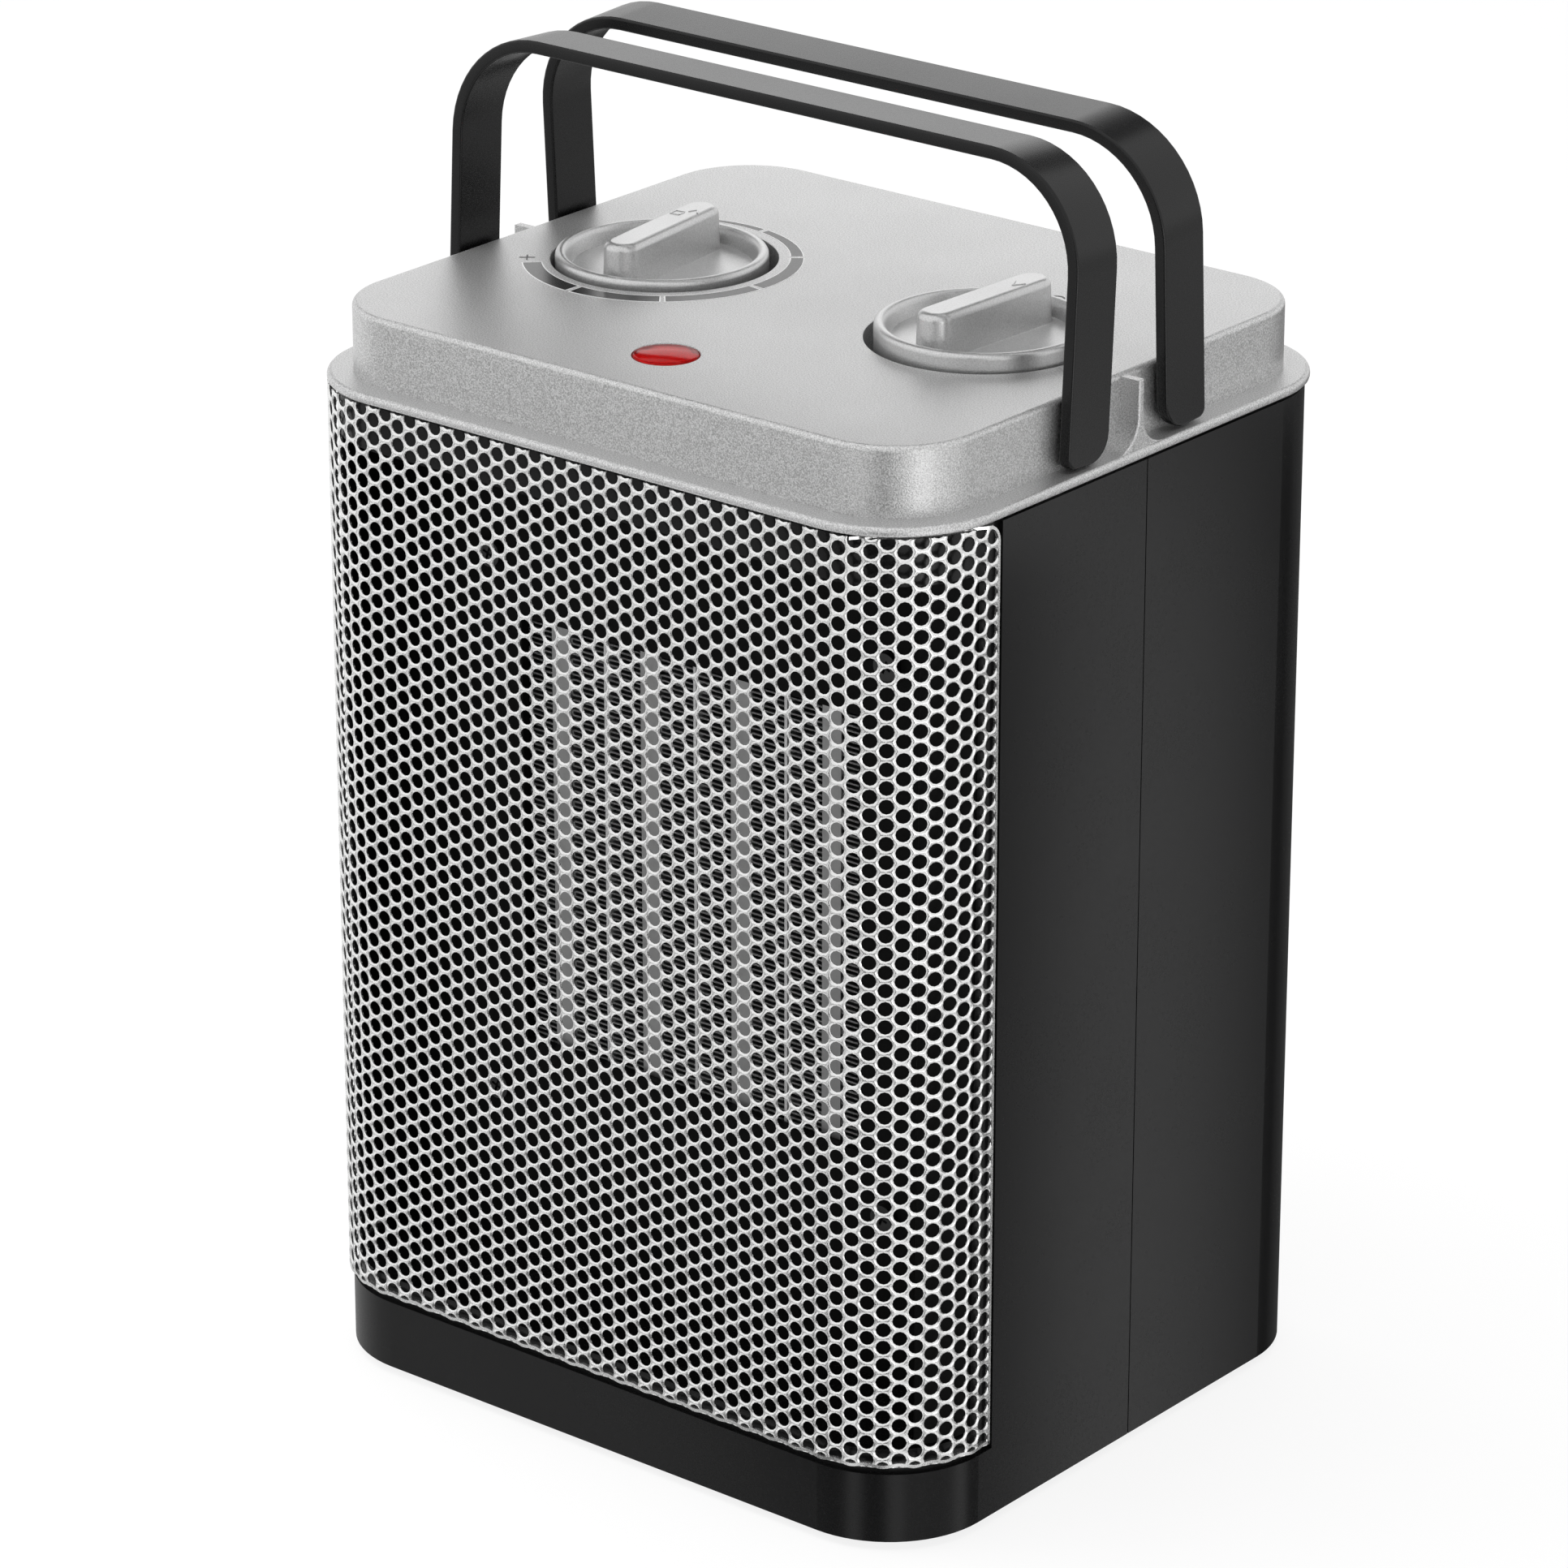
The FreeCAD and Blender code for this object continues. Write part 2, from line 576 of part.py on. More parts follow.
def rubber_feet():
    """Four pads with stubs pushed through the base plate."""
    feet = []
    for x, y in foot_places():
        pad = rod(FOOT_R, Vector(x, y, 0), UP, BASE_Z)
        pad = pad.makeChamfer(0.5, edges_at(pad, 0))
        feet.append(pad.fuse(rod(FOOT_STUB_R, Vector(x, y, 0), UP, FLOOR_Z + 1.5)))
    return Part.makeCompound(feet)


# ---------------------------------------------------------------- grille
def lattice_rows(column, z0, z1):
    """Heights of the holes in one column of the staggered pattern."""
    first = z0 + HOLE_MARGIN + HOLE_D / 2 + (HOLE_PITCH / 2 if column % 2 else 0)
    count = int((z1 - HOLE_MARGIN - HOLE_D / 2 - first) / HOLE_PITCH) + 1
    return [first + HOLE_PITCH * row for row in range(count)]


def front_grille():
    """Perforated sheet over the outlet that wraps both front corners."""
    z0 = STAND + GRILLE_SILL
    z1 = COVER_Z - GRILLE_TOP_GAP
    face_y = -HALF_D - OVERHANG
    column_pitch = HOLE_PITCH * math.sqrt(3) / 2
    reach = int((CORNER_X - HOLE_D / 2 - HOLE_MARGIN) / column_pitch)
    outline = Part.makePolygon([Vector(-CORNER_X, face_y, z0), Vector(CORNER_X, face_y, z0),
                                Vector(CORNER_X, face_y, z1), Vector(-CORNER_X, face_y, z1),
                                Vector(-CORNER_X, face_y, z0)])
    wires = [outline]
    for column in range(-reach, reach + 1):
        for z in lattice_rows(column, z0, z1):
            centre = Vector(column * column_pitch, face_y, z)
            wires.append(Part.Wire([Part.makeCircle(HOLE_D / 2, centre, BACK)]))
    flat = Part.Face(wires).extrude(BACK * GRILLE_T)

    outer_r = CORNER_R + OVERHANG
    inner_r = outer_r - GRILLE_T
    centre = Vector(CORNER_X, -CORNER_Y, z0)
    bend = Part.makeCylinder(outer_r, z1 - z0, centre, UP, 90).cut(
        Part.makeCylinder(inner_r, z1 - z0, centre, UP, 90))
    bend.rotate(centre, UP, -90)
    arc = math.pi / 2 * outer_r
    columns = int((arc - HOLE_D) / column_pitch) + 1
    start = (arc - column_pitch * (columns - 1)) / 2
    holes = []
    for index in range(columns):
        angle = (start + column_pitch * index) / outer_r
        out = Vector(math.sin(angle), -math.cos(angle), 0)
        for z in lattice_rows(reach + 1 + index, z0, z1):
            at = Vector(CORNER_X, -CORNER_Y, z) + out * (inner_r - 1)
            holes.append(rod(HOLE_D / 2, at, out, GRILLE_T + 2))
    bend = cut_all(bend, holes)
    flank = box(HALF_W + OVERHANG - GRILLE_T, HALF_W + OVERHANG, -CORNER_Y, -GRILLE_SIDE_Y, z0, z1)
    tab_y = -WINDOW_SIDE_Y - GRILLE_TOP_GAP - GRILLE_T
    tab_x = CORNER_X + math.sqrt(outer_r ** 2 - (tab_y + CORNER_Y) ** 2) - GRILLE_T / 2
    tabs = [box(tab_x - TAB_DEPTH, tab_x, tab_y, tab_y + GRILLE_T, z - TAB_W / 2, z + TAB_W / 2)
            for z in (z0 + (z1 - z0) * share for share in (0.25, 0.75))]
    right = [bend, flank] + tabs
    left = [shape.mirror(Vector(0, 0, 0), RIGHT) for shape in right]
    return fuse_all([flat] + right + left)


# ---------------------------------------------------------------- bails
def bail(side):
    """Folding carry strap of one side (-1 front, 1 rear), leaning inwards at rest."""
    outer_x = BAIL_IN_X + BAIL_T
    top = PIVOT_Z + BAIL_REACH
    low = PIVOT_Z - BAIL_W / 2
    outer_r = BAIL_BEND_R + BAIL_T

    def arch(half_x, crown, radius):
        """Tall upright block with its two upper corners rounded."""
        quarter = radius * math.sqrt(0.5)
        shoulder = crown - radius
        edges = [Part.makeLine(Vector(-half_x, 0, low), Vector(-half_x, 0, shoulder)),
                 Part.Arc(Vector(-half_x, 0, shoulder),
                          Vector(-half_x + radius - quarter, 0, shoulder + quarter),
                          Vector(-half_x + radius, 0, crown)).toShape(),
                 Part.makeLine(Vector(-half_x + radius, 0, crown), Vector(half_x - radius, 0, crown)),
                 Part.Arc(Vector(half_x - radius, 0, crown),
                          Vector(half_x - radius + quarter, 0, shoulder + quarter),
                          Vector(half_x, 0, shoulder)).toShape(),
                 Part.makeLine(Vector(half_x, 0, shoulder), Vector(half_x, 0, low)),
                 Part.makeLine(Vector(half_x, 0, low), Vector(-half_x, 0, low))]
        return Part.Face(Part.Wire(edges)).extrude(BACK * BAIL_W).translated(FRONT * (BAIL_W / 2))

    strap = arch(outer_x, top, outer_r).cut(arch(BAIL_IN_X, top - BAIL_T, BAIL_BEND_R))
    profile = box(-outer_x, outer_x, -BAIL_W / 2, BAIL_W / 2, low, top)
    long_edges = [e for e in edges_at(profile, low) if e.BoundBox.XLength > 1]
    profile = profile.makeFillet(BAIL_W / 2 - ROUND_SLACK, [e for e in long_edges if e.BoundBox.YMax < 0])
    long_edges = [e for e in edges_at(profile, low) if e.BoundBox.XLength > 1]
    profile = profile.makeFillet(BAIL_TOE_R, [e for e in long_edges if e.BoundBox.YMin > 1])
    strap = strap.common(profile)
    for sx in (-1, 1):
        strap = strap.fuse(rod(PIVOT_R, Vector(sx * (BAIL_IN_X + BAIL_T / 2), 0, PIVOT_Z), RIGHT * -sx,
                               BAIL_T / 2 + BAIL_SIDE_GAP + COVER_WALL + 2 * CLIP_T + 1))
    strap = strap.removeSplitter()
    strap.rotate(Vector(0, 0, PIVOT_Z), RIGHT, -BAIL_LEAN)
    if side > 0:
        strap = strap.mirror(Vector(0, 0, 0), BACK)
    return strap.translated(Vector(0, side * BAIL_Y, 0))


def bail_clips(side):
    """Two snap washers that keep one bail's pivots in the cover."""
    clips = []
    for sx in (-1, 1):
        start = Vector(sx * (DECK_X - COVER_WALL - BAIL_NEST_GAP / 2), side * BAIL_Y, PIVOT_Z)
        clips.append(ring(CLIP_R, PIVOT_R + PRESS, start, RIGHT * -sx, CLIP_T))
    return Part.makeCompound(clips)


# ---------------------------------------------------------------- controls
def knob(place, lift, turn):
    """Dished knob with a grip across it, standing in its well."""
    rim_z = DECK_Z + lift
    floor_z = rim_z - KNOB_DISH
    skirt_z = max(rim_z - KNOB_WALL_H, WELL_FLOOR + HUB_GAP)
    inner_r = KNOB_R - KNOB_RIM
    shell = rod(KNOB_R, Vector(0, 0, skirt_z), UP, rim_z - skirt_z)
    shell = shell.cut(rod(inner_r, Vector(0, 0, floor_z), UP, KNOB_DISH + 1))
    shell = shell.makeFillet(KNOB_RIM / 2 - ROUND_SLACK, edges_at(shell, rim_z))
    shell = shell.cut(rod(inner_r, Vector(0, 0, skirt_z - 1), UP,
                          floor_z - KNOB_FLOOR_T - skirt_z + 1))
    hub_low = WELL_FLOOR + HUB_GAP
    hub = rod(HUB_R, Vector(0, 0, hub_low), UP, floor_z - KNOB_FLOOR_T / 2 - hub_low)
    grip = box(-GRIP_W / 2, GRIP_W / 2, -GRIP_L / 2, GRIP_L / 2, floor_z - KNOB_FLOOR_T / 2,
               floor_z + GRIP_H)
    upright = [e for e in grip.Edges if e.BoundBox.ZLength > 1]
    grip = grip.makeFillet(GRIP_END_R, upright)
    grip = grip.makeFillet(GRIP_EDGE_R, edges_at(grip, floor_z + GRIP_H))
    body = fuse_all([shell, hub, grip])
    body = body.cut(rod(SPINDLE_R + PRESS, Vector(0, 0, hub_low - 1), UP,
                        spindle_top(lift) + WIRE_GAP - hub_low + 1))
    body.rotate(Vector(0, 0, 0), UP, turn)
    return body.translated(Vector(place[0], place[1], 0))


def spindle_top(lift):
    """Height of a spindle's end inside its knob's grip."""
    return DECK_Z + lift - KNOB_DISH + GRIP_H / 3


def control_body(place, height, round_body):
    """Case of a rotary control, up against the underside of its well."""
    x, y = place
    low = PANEL_Z - height
    half = CONTROL_SIZE / 2
    if round_body:
        case = rod(half, Vector(x, y, low), UP, height)
    else:
        case = box(x - half, x + half, y - half * 0.85, y + half * 0.85, low, PANEL_Z)
        case = case.makeFillet(2.0, [e for e in case.Edges if e.BoundBox.ZLength > 1])
    tags = [box(x + dx - TAG_T / 2, x + dx + TAG_T / 2, y - TAG_W / 2, y + TAG_W / 2, low - TAG_H, low + 1)
            for dx in (-TAG_X, 0, TAG_X)]
    case = fuse_all([case] + tags)
    cuts = [rod(SPINDLE_R + SPINDLE_GAP, Vector(x, y, low + SPINDLE_SEAT), UP, height)]
    for side in (-1, 1):
        cuts.append(rod(SCREW_R + PILOT_GAP, Vector(x + side * CONTROL_SCREW_X, y, PANEL_Z), DOWN,
                        CONTROL_SCREW_BITE + 2))
    return cut_all(case, cuts)


def spindle(place, height, lift):
    """Control spindle from its case up into the knob."""
    low = PANEL_Z - height + SPINDLE_SEAT + SPINDLE_GAP
    return rod(SPINDLE_R, Vector(place[0], place[1], low), UP, spindle_top(lift) - low)


def control_screws():
    """Four screws that hold the two controls under their wells."""
    return Part.makeCompound([
        screw(Vector(x + side * CONTROL_SCREW_X, y, WELL_FLOOR), DOWN, COVER_WALL + CONTROL_SCREW_BITE)
        for x, y in control_places() for side in (-1, 1)])


def indicator_lens():
    """Red lens set flush in the deck, with facets underneath."""
    low = DECK_Z - LENS_T + LENS_GAP
    lens = rod(LENS_R, Vector(0, -LENS_Y, low), UP, LENS_T)
    lens = lens.makeFillet(0.4, edges_at(lens, low + LENS_T))
    facets = []
    for index in range(FACETS):
        y = -LENS_Y + (index - (FACETS - 1) / 2) * LENS_R / 3
        facets.append(polygon_prism([Vector(-LENS_R, y - 0.6, low - 0.1), Vector(-LENS_R, y + 0.6, low - 0.1),
                                     Vector(-LENS_R, y, low + 0.8)], RIGHT * (2 * LENS_R)))
    return cut_all(lens, facets)


def indicator_lamp():
    """Small lamp in the sleeve under the lens, with two leads."""
    top = DECK_Z - LENS_T - 2 * LAMP_GAP
    lamp = rod(LAMP_R, Vector(0, -LENS_Y, top - LAMP_H), UP, LAMP_H)
    lamp = lamp.makeFillet(1.2, edges_at(lamp, top))
    leads = [rod(LAMP_LEAD_R, Vector(dx, -LENS_Y, top - LAMP_H + 0.5), DOWN, LAMP_LEAD_L + 0.5)
             for dx in (-LAMP_R / 2, LAMP_R / 2)]
    return fuse_all([lamp] + leads)


# ---------------------------------------------------------------- heating element
def bar_places():
    """Middles of the four heater bars across the element."""
    return [(index - 1.5) * BAR_PITCH for index in range(4)]


def element_span():
    """Front and rear of the element."""
    return -ELEMENT_FRONT, -ELEMENT_FRONT + ELEMENT_DEPTH


def heater_bars():
    """Four ceramic heater bars in flat metal tubes."""
    y0, y1 = element_span()
    reach = ELEMENT_H / 2 + HOLDER_GRIP
    return Part.makeCompound([box(x - BAR_W / 2, x + BAR_W / 2, y0, y1, ELEMENT_Z - reach,
                                  ELEMENT_Z + reach) for x in bar_places()])


def divider_plates():
    """Three thin plates between the fin strips."""
    y0, y1 = element_span()
    reach = ELEMENT_H / 2 + HOLDER_GRIP
    return Part.makeCompound([box(x - PLATE_W / 2, x + PLATE_W / 2, y0, y1, ELEMENT_Z - reach,
                                  ELEMENT_Z + reach) for x in (-BAR_PITCH, 0.0, BAR_PITCH)])


def fin_strips():
    """Left and right edge of each strip of fins, as pairs of x."""
    inner = (BAR_PITCH - BAR_W - PLATE_W) / 2
    strips = []
    for x in bar_places():
        edge = x + BAR_W / 2
        width = OUTER_FIN_W if x > BAR_PITCH else inner
        strips.append((edge, edge + width))
        width = OUTER_FIN_W if x < -BAR_PITCH else inner
        strips.append((x - BAR_W / 2 - width, x - BAR_W / 2))
    return strips


def fin_strip(x0, x1):
    """One folded strip, running to and fro between two bars."""
    y0, y1 = element_span()
    left, right = x0 + FIN_GAP, x1 - FIN_GAP
    bottom = ELEMENT_Z - ELEMENT_H / 2
    passes = int(ELEMENT_H / FIN_PITCH)
    step = (ELEMENT_H - FIN_T) / passes
    up, down = [Vector(right, y0 + 1, bottom)], []
    for index in range(passes):
        low = bottom + step * index + FIN_T
        high = bottom + step * (index + 1)
        if index % 2:
            down += [(left, low), (right - FIN_T, low), (right - FIN_T, high), (left, high)]
        else:
            up += [Vector(x, y0 + 1, z) for x, z in
                   ((right, low), (left + FIN_T, low), (left + FIN_T, high), (right, high))]
    up.append(Vector(right, y0 + 1, bottom + ELEMENT_H))
    down.append((left, bottom + ELEMENT_H))
    down = [Vector(x, y0 + 1, z) for x, z in down[::-1]] + [Vector(left, y0 + 1, bottom)]
    return polygon_prism(up + down, BACK * (y1 - y0 - 2))


def heater_fins():
    """Eight folded fin strips between the bars and plates."""
    return Part.makeCompound([fin_strip(x0, x1) for x0, x1 in fin_strips()])


def holder(side):
    """Insulating holder across the bars' ends: side 1 above, -1 below."""
    y0, y1 = element_span()
    near = ELEMENT_Z + side * (ELEMENT_H / 2 + FIT)
    far = ELEMENT_Z + side * (ELEMENT_H / 2 + HOLDER_H)
    z0, z1 = sorted((near, far))
    body = box(-HOLDER_X, HOLDER_X, y0, y1 + 1, z0, z1)
    grip = HOLDER_GRIP + FIT
    z0, z1 = sorted((near - side, near + side * grip))
    slots = [box(x - BAR_W / 2 - FIT, x + BAR_W / 2 + FIT, y0 - FIT, y1 + FIT, z0, z1)
             for x in bar_places()]
    slots += [box(x - PLATE_W / 2 - FIT, x + PLATE_W / 2 + FIT, y0 - FIT, y1 + FIT, z0, z1)
              for x in (-BAR_PITCH, 0.0, BAR_PITCH)]
    return cut_all(body, slots)


def terminals():
    """Two tabs that stand up from the upper holder through the duct."""
    y0, y1 = element_span()
    low = ELEMENT_Z + ELEMENT_H / 2 + HOLDER_H
    return Part.makeCompound([box(x - TERMINAL_W / 2, x + TERMINAL_W / 2, (y0 + y1 - TERMINAL_T) / 2,
                                  (y0 + y1 + TERMINAL_T) / 2, low, low + TERMINAL_H)
                              for x in (-TERMINAL_X, TERMINAL_X)])


# ---------------------------------------------------------------- air path
def baffle():
    """Black plate across the housing with the element's window in it."""
    half_x = INNER_X - BAFFLE_GAP
    plate = box(-half_x, half_x, BAFFLE_Y - BAFFLE_T, BAFFLE_Y, FLOOR_Z + BASE_GAP,
                HOUSING_TOP - SKIRT_H - 1)
    window_x = ELEMENT_X - WINDOW_LIP
    window_z = ELEMENT_H / 2 - WINDOW_LIP
    holes = [box(-window_x, window_x, -DEPTH, 0, ELEMENT_Z - window_z, ELEMENT_Z + window_z)]
    holes += [rod(SCREW_R + SCREW_GAP, Vector(x, -DEPTH, z), BACK, DEPTH) for x, z in duct_screw_places()]
    return cut_all(plate, holes)


def duct_screw_places():
    """Corner screws of the duct's flanges, as (x, z)."""
    x = DUCT_X + DUCT_T + DUCT_FLANGE / 2
    z = DUCT_HALF_H + DUCT_T + DUCT_FLANGE / 2
    return [(sx * x, ELEMENT_Z + sz * z) for sx in (-1, 1) for sz in (-1, 1)]


def flange_plate(y0, thickness):
    """Rectangular flange of the duct and of the fan's shroud."""
    x = DUCT_X + DUCT_T + DUCT_FLANGE
    z = DUCT_HALF_H + DUCT_T + DUCT_FLANGE
    return box(-x, x, y0, y0 + thickness, ELEMENT_Z - z, ELEMENT_Z + z)


def element_duct():
    """Square duct that holds the element between the baffle and the fan's shroud."""
    x = DUCT_X + DUCT_T
    z = DUCT_HALF_H + DUCT_T
    tube = box(-x, x, BAFFLE_Y, DUCT_REAR, ELEMENT_Z - z, ELEMENT_Z + z)
    body = fuse_all([tube, flange_plate(BAFFLE_Y, DUCT_T), flange_plate(DUCT_REAR - DUCT_T, DUCT_T)])
    cuts = [box(-DUCT_X, DUCT_X, -DEPTH, DEPTH, ELEMENT_Z - DUCT_HALF_H, ELEMENT_Z + DUCT_HALF_H)]
    y0, y1 = element_span()
    for side in (-1, 1):
        slot = TERMINAL_W / 2 + 1
        cuts.append(box(side * TERMINAL_X - slot, side * TERMINAL_X + slot, (y0 + y1) / 2 - 1.2,
                        (y0 + y1) / 2 + 1.2, ELEMENT_Z, ELEMENT_Z + 2 * z))
    for sx, sz in duct_screw_places():
        cuts.append(rod(SCREW_R + PILOT_GAP, Vector(sx, -DEPTH, sz), BACK, 2 * DEPTH))
    ledges = []
    for side in (-1, 1):
        zs = sorted((ELEMENT_Z + side * (DUCT_HALF_H + 1), ELEMENT_Z + side * (DUCT_HALF_H - HOLDER_H)))
        ledges.append(box(-DUCT_X - 1, DUCT_X + 1, y1 + 1 + DUCT_GAP, y1 + 1 + DUCT_GAP + DUCT_T,
                          zs[0], zs[1]))
    return fuse_all([cut_all(body, cuts)] + ledges)


def fan_shroud():
    """Plate and ring round the fan, screwed to the duct."""
    hub = Vector(0, DUCT_REAR, ELEMENT_Z)
    bore = FAN_R + FAN_TIP_GAP
    body = fuse_all([flange_plate(DUCT_REAR, DUCT_T), rod(bore + DUCT_T, hub, BACK, SHROUD_L)])
    cuts = [rod(bore, hub - BACK, BACK, SHROUD_L + 2)]
    cuts += [rod(SCREW_R + SCREW_GAP, Vector(x, -DEPTH, z), BACK, 2 * DEPTH)
             for x, z in duct_screw_places()]
    cuts += [rod(SCREW_R + PILOT_GAP, Vector(x, SHROUD_REAR - 7, z), BACK, 8)
             for x, z in bracket_screw_places()]
    bosses = [rod(BRACKET_BOSS_R, Vector(x, DUCT_REAR, z), BACK, SHROUD_L)
              for x, z in bracket_screw_places()]
    body = fuse_all([body] + bosses)
    return cut_all(body, cuts)


def arm_angles():
    """Directions of the three arms of the motor's bracket, in radians."""
    return [math.radians(90 + 120 * index) for index in range(3)]


def bracket_screw_places():
    """Screws at the arms' ends, as (x, z)."""
    radius = FAN_R + FAN_TIP_GAP + DUCT_T + BRACKET_BOSS_R - BRACKET_BOSS_SINK
    return [(radius * math.cos(a), ELEMENT_Z + radius * math.sin(a)) for a in arm_angles()]


def fan_impeller():
    """Axial fan: hub with pitched blades."""
    centre = Vector(0, FAN_HUB_FRONT, ELEMENT_Z)
    hub = rod(FAN_HUB_R, centre, BACK, FAN_HUB_L)
    nose = [e for e in hub.Edges if abs(e.BoundBox.YMax - FAN_HUB_FRONT) < 1e-4]
    hub = hub.makeFillet(FAN_NOSE_R, nose)
    sweep = rod(FAN_R, centre - BACK * FAN_CHORD, BACK, 3 * FAN_CHORD)
    blades = []
    for index in range(FAN_BLADES):
        blade = box(FAN_HUB_R - 2, FAN_R + 2, -BLADE_T / 2, BLADE_T / 2, -FAN_CHORD / 2, FAN_CHORD / 2)
        blade.rotate(Vector(0, 0, 0), RIGHT, FAN_PITCH)
        blade.rotate(Vector(0, 0, 0), BACK, 360.0 / FAN_BLADES * index)
        blades.append(blade.translated(Vector(0, FAN_MIDDLE, ELEMENT_Z)).common(sweep))
    body = fuse_all([hub] + blades)
    return body.cut(rod(SHAFT_R + PRESS, centre + BACK * FAN_HUB_FLOOR, BACK, FAN_HUB_L))


def motor_shaft():
    """Shaft through the motor and into the fan's hub."""
    start = FAN_HUB_FRONT + FAN_HUB_FLOOR + 0.2
    return rod(SHAFT_R, Vector(0, start, ELEMENT_Z), BACK, MOTOR_REAR + CAP_T + 1 - start)


def motor_bracket():
    """Three-armed bracket behind the fan."""
    centre = Vector(0, SHROUD_REAR, ELEMENT_Z)
    hub = rod(MOTOR_R + BRACKET_RIM, centre, BACK, BRACKET_T)
    parts = [hub]
    for (x, z), angle in zip(bracket_screw_places(), arm_angles()):
        reach = math.hypot(x, z - ELEMENT_Z)
        arm = box(MOTOR_R, reach, 0, BRACKET_T, -ARM_W / 2, ARM_W / 2)
        arm = arm.fuse(rod(ARM_W / 2, Vector(reach, 0, 0), BACK, BRACKET_T))
        arm.rotate(Vector(0, 0, 0), BACK, -math.degrees(angle))
        parts.append(arm.translated(centre))
    cuts = [rod(BUSH_R + 1, centre - BACK, BACK, BRACKET_T + 2)]
    cuts += [rod(SCREW_R + SCREW_GAP, Vector(x, SHROUD_REAR - 1, z), BACK, BRACKET_T + 2)
             for x, z in bracket_screw_places() + motor_screw_places()]
    return cut_all(fuse_all(parts), cuts)


def motor_screw_places():
    """Two screws from the bracket into the motor's front, as (x, z)."""
    offset = MOTOR_R - MOTOR_SCREW_IN
    return [(offset, ELEMENT_Z), (-offset, ELEMENT_Z)]


def motor_can():
    """Drawn motor case with a thick front wall."""
    centre = Vector(0, BRACKET_REAR, ELEMENT_Z)
    can = rod(MOTOR_R, centre, BACK, MOTOR_L)
    front = BUSH_L - 1.0
    cuts = [rod(MOTOR_R - MOTOR_WALL, centre + BACK * front, BACK, MOTOR_L),
            rod(BUSH_R + PRESS, centre - BACK, BACK, MOTOR_L)]
    cuts += [rod(SCREW_R + PILOT_GAP, Vector(x, BRACKET_REAR - 1, z), BACK, front)
             for x, z in motor_screw_places()]
    return cut_all(can, cuts)


def motor_tag_z():
    """Height of the spade tags on the motor's rear."""
    return ELEMENT_Z - MOTOR_R + MOTOR_SCREW_IN


def motor_end_cap():
    """Cap that closes the motor's rear and holds its rear bush."""
    centre = Vector(0, MOTOR_REAR, ELEMENT_Z)
    spigot = MOTOR_R - MOTOR_WALL - 0.05
    cap = rod(MOTOR_R, centre, BACK, CAP_T).fuse(rod(spigot, centre - BACK * 2, BACK, 3))
    cap = cap.fuse(rod(BUSH_R + 2, centre - BACK * (BUSH_L - CAP_T), BACK, BUSH_L))
    low = motor_tag_z() - SPADE_T / 2
    tabs = [box(dx - SPADE_W / 2, dx + SPADE_W / 2, MOTOR_REAR + CAP_T - 1, MOTOR_REAR + CAP_T + SPADE_H,
                low, low + SPADE_T) for dx in (-MOTOR_TAG_X, MOTOR_TAG_X)]
    cap = fuse_all([cap] + tabs)
    return cap.cut(rod(BUSH_R + PRESS, centre - BACK * BUSH_L, BACK, 3 * BUSH_L))


def motor_bushes():
    """Front and rear sintered bushes."""
    front = Vector(0, BRACKET_REAR, ELEMENT_Z)
    rear = Vector(0, MOTOR_REAR + CAP_T - BUSH_L, ELEMENT_Z)
    return Part.makeCompound([ring(BUSH_R, SHAFT_R + 0.04, at, BACK, BUSH_L) for at in (front, rear)])


def motor_middle():
    """Half way along the inside of the motor."""
    return (BRACKET_REAR + BUSH_L + MOTOR_REAR + CAP_T - BUSH_L) / 2


def motor_rotor():
    """Laminated rotor on the shaft."""
    at = Vector(0, motor_middle() - ROTOR_L / 2, ELEMENT_Z)
    return ring(ROTOR_R, SHAFT_R + PRESS, at, BACK, ROTOR_L)


def motor_stator():
    """Ring of the stator inside the case."""
    at = Vector(0, motor_middle() - STATOR_L / 2, ELEMENT_Z)
    return ring(MOTOR_R - MOTOR_WALL - 0.05, STATOR_R, at, BACK, STATOR_L)


# ---------------------------------------------------------------- tip-over switch
def tip_switch_body():
    """Case of the tip-over switch on the base plate."""
    half = TIP_BODY / 2
    case = box(-half, half, TIP_Y - half, TIP_Y + half, FLOOR_Z, FLOOR_Z + TIP_H)
    case = case.makeFillet(1.5, [e for e in case.Edges if e.BoundBox.ZLength > 1])
    ears = box(-half - EAR_L, half + EAR_L, TIP_Y - EAR_W / 2, TIP_Y + EAR_W / 2, FLOOR_Z, FLOOR_Z + EAR_T)
    tag_y = TIP_Y + half - TIP_ROOF
    tags = [box(dx - SPADE_W / 2, dx + SPADE_W / 2, tag_y, tag_y + SPADE_T, FLOOR_Z + TIP_H - 1,
                FLOOR_Z + TIP_H + SPADE_H) for dx in (-half / 2, half / 2)]
    cuts = [rod(PLUNGER_FLANGE_R + PLUNGER_GAP, Vector(0, TIP_Y, 0), UP, FLOOR_Z + TIP_H - TIP_ROOF),
            rod(PLUNGER_STEM_R + STEM_GAP, Vector(0, TIP_Y, 0), UP, 2 * TIP_H + FLOOR_Z)]
    cuts += [rod(SCREW_R + SCREW_GAP, Vector(x, TIP_Y, 0), UP, 2 * TIP_H) for x in tip_screw_places()]
    return cut_all(fuse_all([case, ears] + tags), cuts)


def plunger_flange_z():
    """Lower face of the plunger's flange when the heater stands."""
    return FLOOR_Z + PLUNGER_TRAVEL + STEM_GAP


